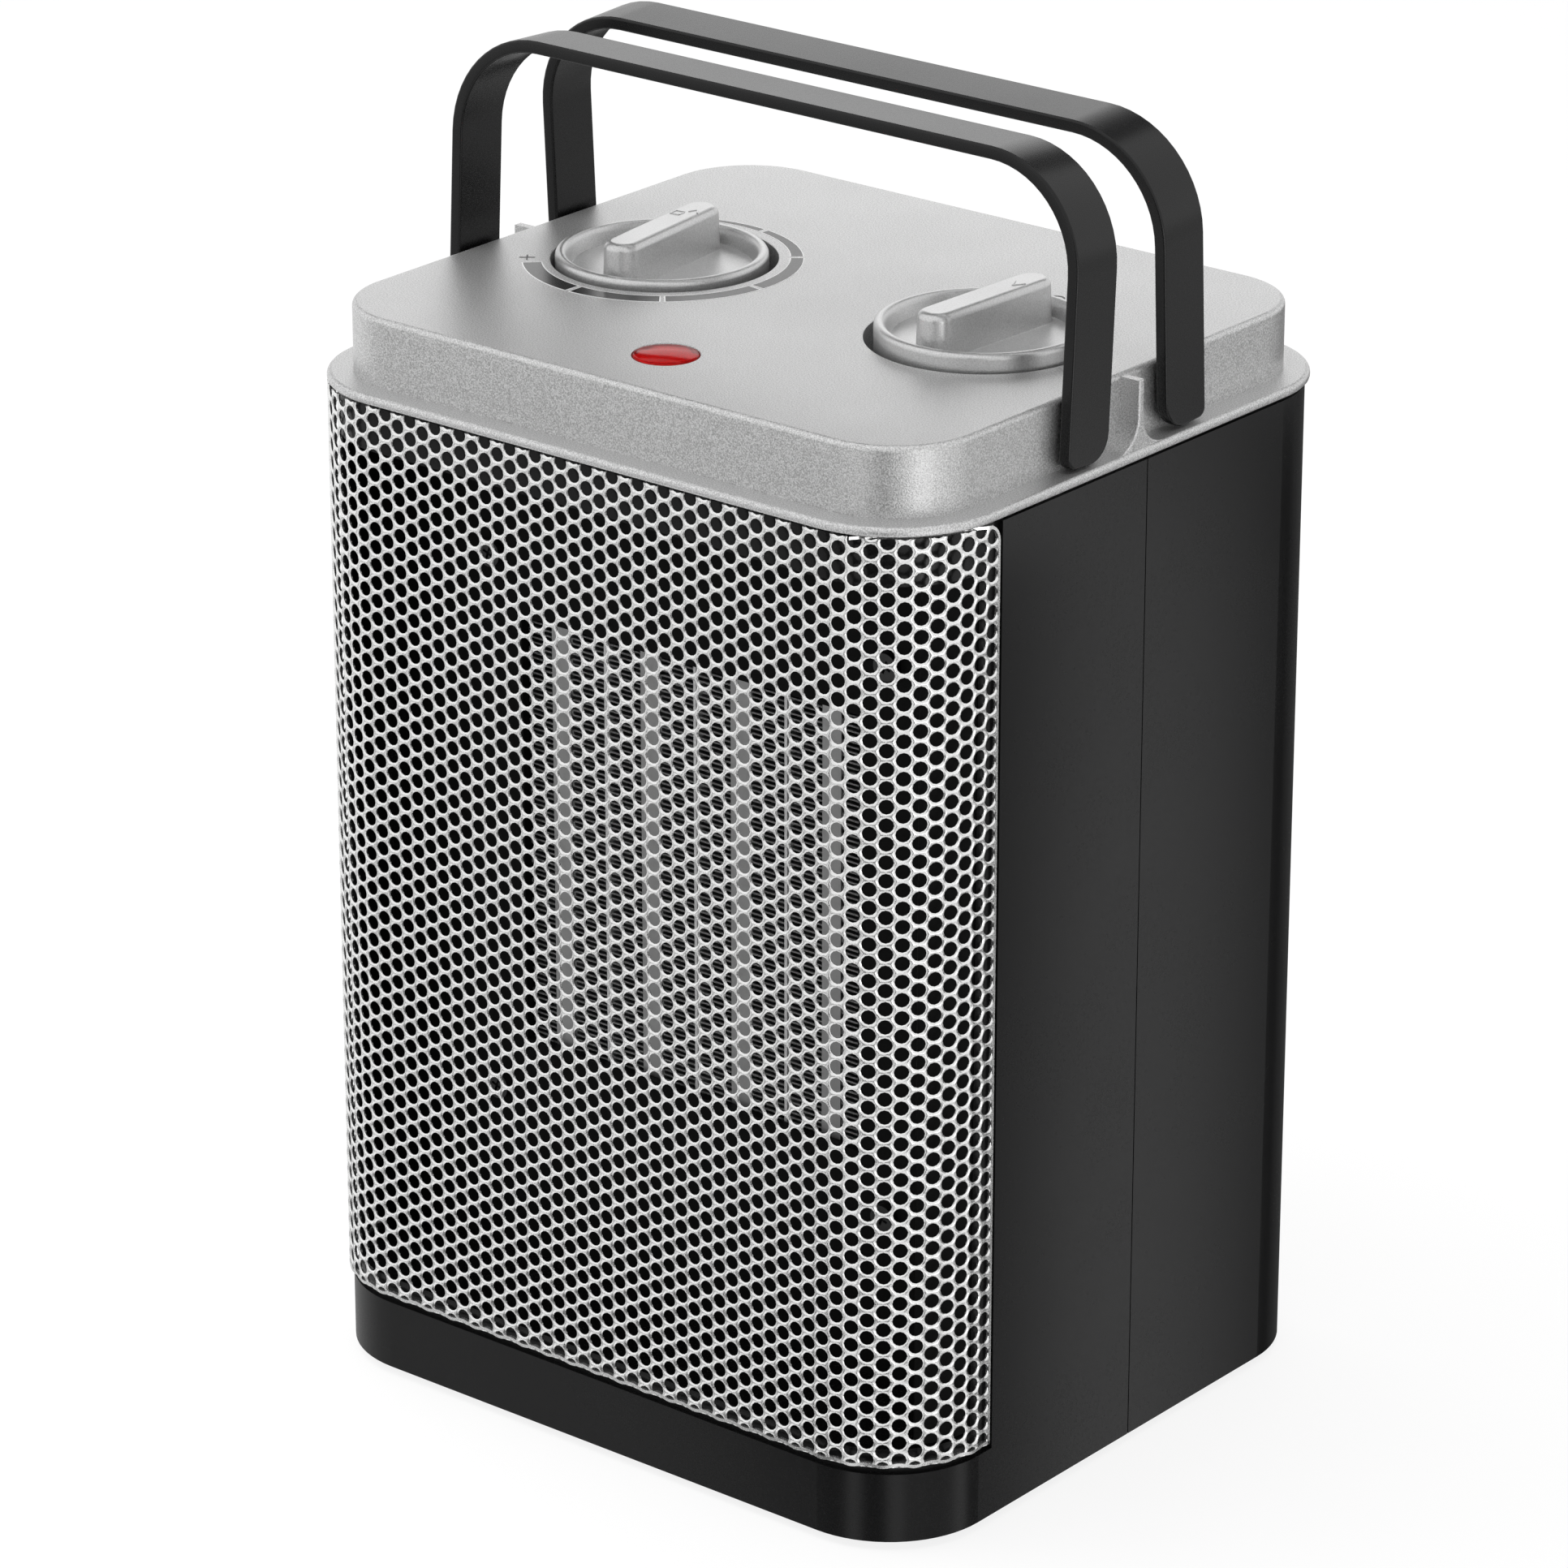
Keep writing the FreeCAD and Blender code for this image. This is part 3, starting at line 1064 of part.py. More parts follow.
def tip_plunger():
    """Plunger that the floor pushes up while the heater stands."""
    flange = plunger_flange_z()
    foot = rod(PLUNGER_R, Vector(0, TIP_Y, 0), UP, flange + 0.5)
    foot = foot.makeFillet(0.6, edges_at(foot, 0))
    disc = rod(PLUNGER_FLANGE_R, Vector(0, TIP_Y, flange), UP, PLUNGER_FLANGE_T)
    stem = rod(PLUNGER_STEM_R, Vector(0, TIP_Y, flange), UP, FLOOR_Z + TIP_H + 1 - flange)
    return fuse_all([foot, disc, stem])


def tip_spring():
    """Coil spring between the plunger's flange and the case."""
    low = plunger_flange_z() + PLUNGER_FLANGE_T + SPRING_WIRE + STEM_GAP
    high = FLOOR_Z + TIP_H - TIP_ROOF - SPRING_WIRE - STEM_GAP
    helix = Part.makeHelix((high - low) / SPRING_TURNS, high - low, SPRING_R)
    section = Part.Wire([Part.makeCircle(SPRING_WIRE, Vector(SPRING_R, 0, 0), BACK)])
    coil = Part.Wire(helix).makePipeShell([section], True, True)
    return coil.translated(Vector(0, TIP_Y, low))


def tip_screw_places():
    """The tip-over switch's two screws, as x."""
    reach = TIP_BODY / 2 + EAR_L / 2
    return [-reach, reach]


def tip_screws():
    """Two screws that hold the tip-over switch."""
    return Part.makeCompound([screw(Vector(x, TIP_Y, FLOOR_Z + EAR_T), DOWN, EAR_T + BASE_T)
                              for x in tip_screw_places()])


# ---------------------------------------------------------------- electrics
def cord_bush():
    """Flanged bush in the back for the mains lead."""
    at = Vector(CORD_X, HALF_D, STAND + CORD_Z)
    length = CORD_BUSH_IN + WALL + CORD_LIP
    body = rod(CORD_BUSH_R, at - BACK * (WALL + CORD_BUSH_IN), BACK, length)
    flange = rod(CORD_FLANGE_R, at + BACK * 0.1, BACK, CORD_LIP - 0.1)
    flange = flange.makeFillet(0.4, [e for e in flange.Edges if e.BoundBox.YMin > HALF_D + 0.2])
    keeper = rod(CORD_FLANGE_R, at - BACK * (WALL + CORD_LIP + 0.1), BACK, CORD_LIP)
    return fuse_all([body, flange, keeper]).cut(rod(CORD_R, at - BACK * DEPTH / 2, BACK, DEPTH))


def terminal_block():
    """Ceramic terminal block for the supply, standing on the base plate."""
    x0, y0 = BLOCK_X - BLOCK_L / 2, BLOCK_Y - BLOCK_W / 2
    block = box(x0, x0 + BLOCK_L, y0, y0 + BLOCK_W, FLOOR_Z, FLOOR_Z + BLOCK_H)
    cuts = []
    for index in range(BLOCK_POLES):
        x = x0 + BLOCK_L * (index + 0.5) / BLOCK_POLES
        cuts.append(rod(POLE_R, Vector(x, BLOCK_Y, FLOOR_Z + BLOCK_H / 2), UP, BLOCK_H))
    for index in range(1, BLOCK_POLES):
        x = x0 + BLOCK_L * index / BLOCK_POLES
        cuts.append(box(x - 0.8, x + 0.8, y0 - 1, y0 + BLOCK_W + 1,
                        FLOOR_Z + BLOCK_H - POLE_SLOT, FLOOR_Z + BLOCK_H + 1))
    return cut_all(block, cuts)


def duct_top():
    """Upper outer face of the duct."""
    return ELEMENT_Z + DUCT_HALF_H + DUCT_T


def duct_middle():
    """Half way along the duct."""
    return (BAFFLE_Y + DUCT_REAR) / 2


def thermal_cutout():
    """Round bimetal cut-out on top of the duct."""
    y = duct_middle()
    at = Vector(0, y, duct_top())
    body = rod(CUTOUT_R, at, UP, CUTOUT_H)
    body = body.makeChamfer(0.8, edges_at(body, duct_top() + CUTOUT_H))
    middle = CUTOUT_R * 0.6
    tabs = [box(sx * middle - SPADE_T / 2, sx * middle + SPADE_T / 2, y - SPADE_W / 2, y + SPADE_W / 2,
                duct_top() + CUTOUT_H - 1, duct_top() + CUTOUT_H + SPADE_H) for sx in (-1, 1)]
    return fuse_all([body] + tabs)


def thermal_fuse():
    """One-shot fuse lying on the duct beside the cut-out."""
    at = Vector(CUTOUT_R + FUSE_GAP, duct_middle() - FUSE_L / 2, duct_top() + FUSE_R + 0.1)
    leads = rod(FUSE_LEAD_R, at - BACK * FUSE_LEAD_L, BACK, FUSE_L + 2 * FUSE_LEAD_L)
    return fuse_all([rod(FUSE_R, at, BACK, FUSE_L), leads])


def wire(points):
    """Insulated wire along straight runs joined by tangent arcs."""
    points = [Vector(*p) for p in points]
    edges = []
    here = points[0]
    for index in range(1, len(points) - 1):
        before, corner, after = points[index - 1:index + 2]
        back, ahead = (before - corner).normalize(), (after - corner).normalize()
        run = 0.45 * min((before - corner).Length, (after - corner).Length)
        half = back.getAngle(ahead) / 2
        radius = run * math.tan(half)
        start, end = corner + back * run, corner + ahead * run
        bisector = (back + ahead).normalize()
        middle = corner + bisector * (radius / math.sin(half) - radius)
        edges.append(Part.makeLine(here, start))
        edges.append(Part.Arc(start, middle, end).toShape())
        here = end
    edges.append(Part.makeLine(here, points[-1]))
    path = Part.Wire(edges)
    direction = (points[1] - points[0]).normalize()
    section = Part.Wire([Part.makeCircle(WIRE_R, points[0], direction)])
    return path.makePipeShell([section], True, False)


def block_wire_start(share):
    """Where a wire leaves the terminal block, at a share of its length from the middle."""
    return BLOCK_X + BLOCK_L * share, BLOCK_Y, FLOOR_Z + BLOCK_H + WIRE_GAP


def wire_supply():
    """From the terminal block up to the mode selector."""
    x, y = control_places()[1]
    low = PANEL_Z - SELECTOR_H - TAG_H
    side = INNER_X - 16
    start = block_wire_start(1 / 3)
    return wire([start, (start[0], BLOCK_Y + 2, FLOOR_Z + 37), (start[0] + 30, INNER_Y - 9, FLOOR_Z + 45),
                 (side - 22, INNER_Y - 10, FLOOR_Z + 57), (side, INNER_Y - 20, ELEMENT_Z - 33),
                 (side, INNER_Y - 22, ELEMENT_Z + 7), (side, INNER_Y - 26, ELEMENT_Z + 42),
                 (side - 8, y + 27.5, low - 16.3), (x + TAG_X, y + 3.5, low - 12.3),
                 (x + TAG_X, y, low - WIRE_GAP)])


def wire_link():
    """From the mode selector across to the thermostat."""
    left, right = control_places()
    low_left = PANEL_Z - THERMOSTAT_H - TAG_H
    low_right = PANEL_Z - SELECTOR_H - TAG_H
    from_x, to_x = right[0] - TAG_X, left[0] + TAG_X
    return wire([(from_x, right[1], low_right - WIRE_GAP), (from_x, right[1] + 2, low_right - 13.3),
                 (14, right[1] + 7.5, low_right - 17.3), (-14, right[1] + 7.5, low_right - 15.3),
                 (to_x, left[1] + 2, low_left - 13.3), (to_x, left[1], low_left - WIRE_GAP)])


def terminal_top():
    """Upper ends of the element's terminals."""
    return ELEMENT_Z + ELEMENT_H / 2 + HOLDER_H + TERMINAL_H


def terminal_y():
    """The terminals' place from front to back."""
    return -ELEMENT_FRONT + ELEMENT_DEPTH / 2


def wire_element():
    """From the thermostat down to the element's left terminal."""
    x, y = control_places()[0]
    low = PANEL_Z - THERMOSTAT_H - TAG_H
    top, end_y = terminal_top(), terminal_y()
    return wire([(x - TAG_X, y, low - WIRE_GAP), (x - TAG_X, y - 2, low - 11.3), (x - 2, y - 16, low - 7.3),
                 (-TERMINAL_X - 2, end_y + 2, top + 13.5), (-TERMINAL_X, end_y, top + WIRE_GAP)])


def wire_return():
    """From the terminal block up to the element's right terminal."""
    top, end_y = terminal_top(), terminal_y()
    side = INNER_X - 12
    start = block_wire_start(0)
    return wire([start, (start[0], BLOCK_Y - 4, FLOOR_Z + 31), (start[0] + 34, BLOCK_Y - 24, FLOOR_Z + 37),
                 (side - 30, BLOCK_Y - 34, FLOOR_Z + 41), (side, BLOCK_Y - 42, ELEMENT_Z - 53),
                 (side, BLOCK_Y - 46, ELEMENT_Z - 13), (side, BLOCK_Y - 52, ELEMENT_Z + 27),
                 (side - 4, end_y + 14, ELEMENT_Z + 57), (side - 18, end_y + 2, top + 9.5),
                 (TERMINAL_X + 2, end_y + 1, top + 14.5), (TERMINAL_X, end_y, top + WIRE_GAP)])


def wire_motor():
    """From the terminal block up to the motor."""
    start = block_wire_start(-1 / 3)
    tab_z = motor_tag_z()
    tab_y = MOTOR_REAR + CAP_T + SPADE_H
    behind = (tab_y + INNER_Y) / 2 - 2.9
    return wire([start, (start[0], BLOCK_Y + 6, FLOOR_Z + 39), (start[0] + 14, behind - 4, FLOOR_Z + 65),
                 (-MOTOR_TAG_X - 10, behind, tab_z - 20), (-MOTOR_TAG_X - 1, behind, tab_z - 4),
                 (-MOTOR_TAG_X, tab_y + WIRE_GAP, tab_z)])


# ---------------------------------------------------------------- fasteners
def cover_screws():
    """Four screws up through the housing's posts into the cover."""
    return Part.makeCompound([screw(Vector(x, y, HOUSING_TOP - POST_H), UP, POST_H + 8)
                              for x, y in post_places()])


def base_screws():
    """Four screws up through the base plate."""
    return Part.makeCompound([screw(Vector(x, y, BASE_Z), UP, BASE_T + 12) for x, y in post_places()])


def housing_screws():
    """Four screws that draw the housing halves together."""
    y = SEAM_Y + SEAM_GAP / 2 + POST_H
    return Part.makeCompound([screw(Vector(x, y, z), FRONT, POST_H + 12) for x, z in side_boss_places()])


def duct_screws():
    """Four screws through baffle and duct, and four through shroud and duct."""
    front = BAFFLE_Y - BAFFLE_T
    rear = DUCT_REAR + DUCT_T
    shapes = [screw(Vector(x, front, z), BACK, BAFFLE_T + DUCT_T + 3) for x, z in duct_screw_places()]
    shapes += [screw(Vector(x, rear, z), FRONT, 2 * DUCT_T + 3) for x, z in duct_screw_places()]
    return Part.makeCompound(shapes)


def bracket_screws():
    """Three screws that hold the motor's bracket on the shroud."""
    return Part.makeCompound([screw(Vector(x, BRACKET_REAR, z), FRONT, BRACKET_T + 5)
                              for x, z in bracket_screw_places()])


def motor_screws():
    """Two screws through the bracket into the motor."""
    return Part.makeCompound([screw(Vector(x, SHROUD_REAR, z), BACK, BRACKET_T + 3)
                              for x, z in motor_screw_places()])


# ---------------------------------------------------------------- nodes
THERMOSTAT, MODE = control_places()
NODES = {
    "front_housing": front_housing,
    "rear_housing": rear_housing,
    "top_cover": top_cover,
    "front_grille": front_grille,
    "base_plate": base_plate,
    "rubber_feet": rubber_feet,
    "front_handle": lambda: bail(-1),
    "rear_handle": lambda: bail(1),
    "front_handle_clips": lambda: bail_clips(-1),
    "rear_handle_clips": lambda: bail_clips(1),
    "thermostat_knob": lambda: knob(THERMOSTAT, THERMOSTAT_LIFT, THERMOSTAT_REST),
    "mode_knob": lambda: knob(MODE, MODE_LIFT, MODE_REST),
    "thermostat_spindle": lambda: spindle(THERMOSTAT, THERMOSTAT_H, THERMOSTAT_LIFT),
    "selector_spindle": lambda: spindle(MODE, SELECTOR_H, MODE_LIFT),
    "thermostat_body": lambda: control_body(THERMOSTAT, THERMOSTAT_H, False),
    "selector_body": lambda: control_body(MODE, SELECTOR_H, True),
    "indicator_lens": indicator_lens,
    "indicator_lamp": indicator_lamp,
    "heater_bars": heater_bars,
    "divider_plates": divider_plates,
    "heater_fins": heater_fins,
    "upper_element_holder": lambda: holder(1),
    "lower_element_holder": lambda: holder(-1),
    "element_terminals": terminals,
    "baffle_plate": baffle,
    "element_duct": element_duct,
    "fan_shroud": fan_shroud,
    "fan_impeller": fan_impeller,
    "motor_shaft": motor_shaft,
    "motor_rotor": motor_rotor,
    "motor_stator": motor_stator,
    "motor_can": motor_can,
    "motor_end_cap": motor_end_cap,
    "motor_bushes": motor_bushes,
    "motor_bracket": motor_bracket,
    "tip_switch_body": tip_switch_body,
    "tip_switch_plunger": tip_plunger,
    "tip_switch_spring": tip_spring,
    "thermal_cutout": thermal_cutout,
    "thermal_fuse": thermal_fuse,
    "terminal_block": terminal_block,
    "cord_inlet_bush": cord_bush,
    "wire_supply": wire_supply,
    "wire_link": wire_link,
    "wire_element": wire_element,
    "wire_return": wire_return,
    "wire_motor": wire_motor,
    "cover_screws": cover_screws,
    "base_screws": base_screws,
    "housing_screws": housing_screws,
    "control_screws": control_screws,
    "duct_screws": duct_screws,
    "bracket_screws": bracket_screws,
    "motor_screws": motor_screws,
    "tip_switch_screws": tip_screws,
}

os.makedirs("parts", exist_ok=True)
for name, make in NODES.items():
    make().exportStep(os.path.join("parts", name + ".step"))
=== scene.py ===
import json
import logging
import math
from contextlib import contextmanager
from dataclasses import dataclass
from enum import Enum
from typing import Callable, Iterator, Optional, Sequence, Union

import bmesh
import bpy
from mathutils import Euler, Matrix, Vector


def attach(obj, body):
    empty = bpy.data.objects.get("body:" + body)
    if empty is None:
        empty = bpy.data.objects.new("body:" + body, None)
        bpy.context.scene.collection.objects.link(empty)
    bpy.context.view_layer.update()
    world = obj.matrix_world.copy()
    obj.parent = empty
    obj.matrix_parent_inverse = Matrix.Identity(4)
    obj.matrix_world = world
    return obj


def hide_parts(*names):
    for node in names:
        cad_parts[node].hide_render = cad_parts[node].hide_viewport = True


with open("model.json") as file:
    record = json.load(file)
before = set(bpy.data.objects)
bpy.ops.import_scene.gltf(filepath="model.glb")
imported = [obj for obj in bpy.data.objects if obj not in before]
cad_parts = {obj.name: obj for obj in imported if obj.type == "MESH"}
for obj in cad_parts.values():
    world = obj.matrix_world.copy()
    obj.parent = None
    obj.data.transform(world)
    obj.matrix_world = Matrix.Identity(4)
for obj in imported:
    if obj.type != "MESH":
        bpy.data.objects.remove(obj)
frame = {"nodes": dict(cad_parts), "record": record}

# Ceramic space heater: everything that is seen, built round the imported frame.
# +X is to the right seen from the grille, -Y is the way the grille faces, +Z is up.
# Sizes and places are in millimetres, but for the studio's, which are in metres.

LOG = logging.getLogger("heater")
MM = 0.001
WELD = 0.01 * MM
Colour = tuple[float, float, float]
Point = Sequence[float]
Number = Union[float, "Value"]

# Places that several pieces share.
DECK = 241.5
PIVOT_Y = 16.3
PIVOT_Z = 233.6
LENS_Y = -49.5
SPINDLES = ((-43.3, 0.5), (43.3, 0.5))


class Slot(Enum):
    """Material slots of the record."""

    SILVER = "silver_paint"
    GRILLE = "grille_paint"
    SHELL = "black_shell"
    HANDLE = "handle_black"
    INNER = "black_inner"
    NYLON = "white_plastic"
    FAN = "fan_plastic"
    CERAMIC = "ceramic_white"
    LENS = "red_lens"
    LAMP = "lamp_glass"
    RUBBER = "rubber"
    STEEL = "spring_steel"
    ZINC = "zinc"
    BRASS = "brass"
    ALUMINIUM = "heater_metal"
    SLEEVE = "wire_cover"


class Body(Enum):
    """Bodies that the dressed pieces move with."""

    HEATER = "heater"
    FRONT_HANDLE = "front_handle"
    REAR_HANDLE = "rear_handle"
    THERMOSTAT = "thermostat_dial"
    MODE = "mode_dial"


# ---------------------------------------------------------------- shader maths
class Value:
    """A shader socket that can stand in sums."""

    def __init__(self, nodes: "Nodes", socket: bpy.types.NodeSocket) -> None:
        """Wrap an output socket of one of a tree's nodes."""
        self.nodes = nodes
        self.socket = socket

    def _maths(self, operation: str, first: Number, second: Number) -> "Value":
        """Return the result of one Math node."""
        return self.nodes.node("ShaderNodeMath", {0: first, 1: second}, operation=operation)

    def __add__(self, other: Number) -> "Value":
        """Return the sum."""
        return self._maths("ADD", self, other)

    def __sub__(self, other: Number) -> "Value":
        """Return the difference."""
        return self._maths("SUBTRACT", self, other)

    def __rsub__(self, other: Number) -> "Value":
        """Return a number less this value."""
        return self._maths("SUBTRACT", other, self)

    def __mul__(self, other: Number) -> "Value":
        """Return the product."""
        return self._maths("MULTIPLY", self, other)

    def __or__(self, other: Number) -> "Value":
        """Return the larger of the two."""
        return self._maths("MAXIMUM", self, other)

    __radd__ = __add__
    __rmul__ = __mul__


class Nodes:
    """A node tree and the nodes that are added to it."""

    def __init__(self, tree: bpy.types.NodeTree, output: str) -> None:
        """Clear a tree and add its output node.

        Args:
            tree: the tree of a material or of the world.
            output: type of its output node.
        """
        self.tree = tree
        tree.nodes.clear()
        self.output = tree.nodes.new(output)

    def node(self, kind: str, inputs: dict, output: Union[int, str] = 0, **settings: str) -> Value:
        """Add one node.

        Args:
            kind: the node's type.
            inputs: values or links, by socket name or number.
            output: the output to return.
            settings: attributes that are set before the inputs.

        Returns:
            The chosen output, ready for sums.
        """
        made = self.tree.nodes.new(kind)
        for key, value in settings.items():
            setattr(made, key, value)
        for key, value in inputs.items():
            self._feed(made.inputs[key], value)
        return Value(self, made.outputs[output])

    def _feed(self, socket: bpy.types.NodeSocket, value: object) -> None:
        """Link or set one input.

        Args:
            socket: the input.
            value: a value to link, or a plain number, colour or vector to set.
        """
        if isinstance(value, Value):
            self.tree.links.new(value.socket, socket)
        else:
            socket.default_value = value

    def light(self, kind: str, level: float, strength: float = 1.0) -> Value:
        """Return an even grey light of an Emission or a Background node."""
        return self.node(kind, {"Color": (level, level, level, 1.0), "Strength": strength})

    def ray(self, kind: str) -> Value:
        """Return 1 where the ray is of a kind, else 0."""
        return self.node("ShaderNodeLightPath", {}, f"Is {kind} Ray")

    def show(self, value: Value) -> None:
        """End the tree with a shader."""
        self.tree.links.new(value.socket, self.output.inputs["Surface"])


class Shader(Nodes):
    """One material with a Principled shader."""

    def __init__(self, name: str) -> None:
        """Start a material with a bare Principled shader.

        Args:
            name: the material's name.
        """
        self.material = bpy.data.materials.new(name)
        self.material.use_nodes = True
        super().__init__(self.material.node_tree, "ShaderNodeOutputMaterial")
        self.principled = self.tree.nodes.new("ShaderNodeBsdfPrincipled")
        self.surface = Value(self, self.principled.outputs[0])
        self.show(self.surface)

    def place(self) -> Value:
        """Return the surface's own place, in metres."""
        return self.node("ShaderNodeTexCoord", {}, "Object")

    def stretched(self, scale: Point) -> Value:
        """Return the place with each axis scaled."""
        return self.node("ShaderNodeMapping", {"Vector": self.place(), "Scale": scale})

    def noise(self, grain: float, detail: float, where: Optional[Value] = None) -> Value:
        """Return a noise with bumps about a grain across, in metres, at the place or elsewhere."""
        inputs = {"Vector": where or self.place(), "Scale": 1.0 / grain, "Detail": detail, "Roughness": 0.55}
        return self.node("ShaderNodeTexNoise", inputs, "Fac")

    def ramp(self, value: Value, low: float, high: float) -> Value:
        """Stretch a value.

        Args:
            value: what is stretched.
            low: what becomes 0.
            high: what becomes 1.

        Returns:
            The stretched value, kept between 0 and 1.
        """
        made = self.node("ShaderNodeValToRGB", {"Fac": value})
        for element, place in zip(made.socket.node.color_ramp.elements, (low, high)):
            element.position = place
        return made

    def mix(self, share: Number, first: Colour, second: Colour) -> Value:
        """Return a colour between two."""
        inputs = {0: share, 6: (*first, 1.0), 7: (*second, 1.0)}
        return self.node("ShaderNodeMix", inputs, 2, data_type="RGBA")

    def bump(self, height: Value, depth: float) -> Value:
        """Return a normal from a height of 0 to 1 and its depth in metres."""
        return self.node("ShaderNodeBump", {"Height": height, "Distance": depth, "Strength": 1.0})

    def set(self, **inputs: object) -> None:
        """Set or link the Principled shader's sockets.

        Args:
            inputs: values by socket name, with underscores for spaces.
        """
        for key, value in inputs.items():
            if isinstance(value, tuple):
                value = (*value, 1.0)
            self._feed(self.principled.inputs[key.replace("_", " ")], value)


# ---------------------------------------------------------------- finishes
def toned(colour: Colour, factor: float, lift: float = 0.0) -> Colour:
    """Return a colour made darker or lighter."""
    return tuple(min(1.0, part * factor + lift) for part in colour)


@dataclass(frozen=True)
class Finish:
    """A surface finish, made once and shared.

    Grains, clouds and depths are in metres, a gloss is the roughness in the middle of its range, a haze is
    how much roughness a pattern adds, and a tone is what it does to the colour.
    """

    name: str

    def write(self, shader: Shader) -> None:
        """Write the finish's nodes."""
        raise NotImplementedError

    def material(self) -> bpy.types.Material:
        """Make the material at its first use.

        Returns:
            The finish's material.
        """
        known = bpy.data.materials.get(self.name)
        if known is not None:
            return known
        shader = Shader(self.name)
        self.write(shader)
        return shader.material


@dataclass(frozen=True)
class MetallicPaint(Finish):
    """Satin paint with fine metal flakes."""

    colour: Colour = (0.6, 0.6, 0.6)
    metal: float = 0.85
    gloss: float = 0.42
    flake: float = 0.0003
    depth: float = 0.00006
    spread: float = 0.3
    cloud: float = 0.02
    flake_band: tuple[float, float] = (0.32, 0.68)
    flake_haze: float = 0.10
    cloud_haze: float = 0.05

    def write(self, shader: Shader) -> None:
        """Write flakes into colour, roughness and normal.

        Args:
            shader: the material being written.
        """
        flakes = shader.noise(self.flake, 1.0)
        clouds = shader.noise(self.cloud, 2.0)
        lit = shader.ramp(flakes, *self.flake_band)
        dark, bright = (toned(self.colour, 1.0 + way * self.spread) for way in (-1, 1))
        haze = lit * self.flake_haze + clouds * self.cloud_haze
        shader.set(Base_Color=shader.mix(lit, dark, bright), Metallic=self.metal,
                   Roughness=haze + (self.gloss - (self.flake_haze + self.cloud_haze) / 2),
                   Normal=shader.bump(flakes, self.depth))


@dataclass(frozen=True)
class MouldedPlastic(Finish):
    """Moulded plastic with a faint texture."""

    colour: Colour = (0.01, 0.01, 0.01)
    gloss: float = 0.35
    grain: float = 0.0006
    depth: float = 0.000008
    shine: float = 0.5
    cloud: float = 0.03
    cloud_tone: tuple[float, float] = (1.12, 0.001)
    grain_haze: float = 0.08
    cloud_haze: float = 0.06

    def write(self, shader: Shader) -> None:
        """Write the grain into colour, roughness and normal.

        Args:
            shader: the material being written.
        """
        grain = shader.noise(self.grain, 3.0)
        clouds = shader.noise(self.cloud, 3.0)
        haze = grain * self.grain_haze + clouds * self.cloud_haze
        shader.set(Base_Color=shader.mix(clouds, self.colour, toned(self.colour, *self.cloud_tone)),
                   Specular_IOR_Level=self.shine,
                   Roughness=haze + (self.gloss - (self.grain_haze + self.cloud_haze) / 2),
                   Normal=shader.bump(grain, self.depth))


@dataclass(frozen=True)
class BareMetal(Finish):
    """Drawn or rolled bare metal with fine lines along one axis."""

    colour: Colour = (0.6, 0.6, 0.6)
    gloss: float = 0.32
    lines: tuple[float, float, float] = (1.0, 1.0, 0.06)
    grain: float = 0.0004
    depth: float = 0.000005
    stain: float = 0.006
    stain_band: tuple[float, float] = (0.35, 0.75)
    stain_tone: float = 0.78
    stain_share: float = 0.6
    line_haze: float = 0.14
    stain_haze: float = 0.10
    polish: float = 0.08

    def write(self, shader: Shader) -> None:
        """Write the lines and some dulling.

        Args:
            shader: the material being written.
        """
        lines = shader.noise(self.grain, 3.0, shader.stretched(self.lines))
        dull = shader.ramp(shader.noise(self.stain, 4.0), *self.stain_band)
        haze = lines * self.line_haze + dull * self.stain_haze
        stained = toned(self.colour, self.stain_tone)
        shader.set(Base_Color=shader.mix(dull * self.stain_share, self.colour, stained), Metallic=1.0,
                   Roughness=haze + (self.gloss - self.polish), Normal=shader.bump(lines, self.depth))


@dataclass(frozen=True)
class Tinted(Finish):
    """Clear tinted moulding or glass."""

    colour: Colour = (0.7, 0.01, 0.01)
    through: float = 0.85
    gloss: float = 0.08
    swirl: float = 0.0035
    swirl_tone: float = 0.55
    swirl_haze: float = 0.05
    ior: float = 1.18

    def write(self, shader: Shader) -> None:
        """Write a slightly uneven clear body.

        Args:
            shader: the material being written.
        """
        swirl = shader.noise(self.swirl, 3.0)
        shader.set(Base_Color=shader.mix(swirl, self.colour, toned(self.colour, self.swirl_tone)),
                   Transmission_Weight=self.through, IOR=self.ior, Specular_IOR_Level=0.0,
                   Roughness=swirl * self.swirl_haze + self.gloss)


@dataclass(frozen=True)
class Woven(Finish):
    """Braided sleeve of an insulated wire."""

    colour: Colour = (0.72, 0.71, 0.67)
    thread: float = 0.0004
    depth: float = 0.00008
    stretch: float = 0.35
    valley_tone: float = 0.6
    gloss: float = 0.8

    def write(self, shader: Shader) -> None:
        """Write crossing threads.

        Args:
            shader: the material being written.
        """
        across = shader.noise(self.thread, 1.0, shader.stretched((1.0, 1.0, self.stretch)))
        along = shader.noise(self.thread, 1.0, shader.stretched((self.stretch, self.stretch, 1.0)))
        threads = across * 0.5 + along * 0.5
        shader.set(Base_Color=shader.mix(threads, toned(self.colour, self.valley_tone), self.colour),
                   Roughness=self.gloss, Normal=shader.bump(threads, self.depth))


ROLLED = (1.0, 1.0, 0.05)
CAST = (0.4, 0.4, 0.4)
PRINT_DEPTH = 0.000001

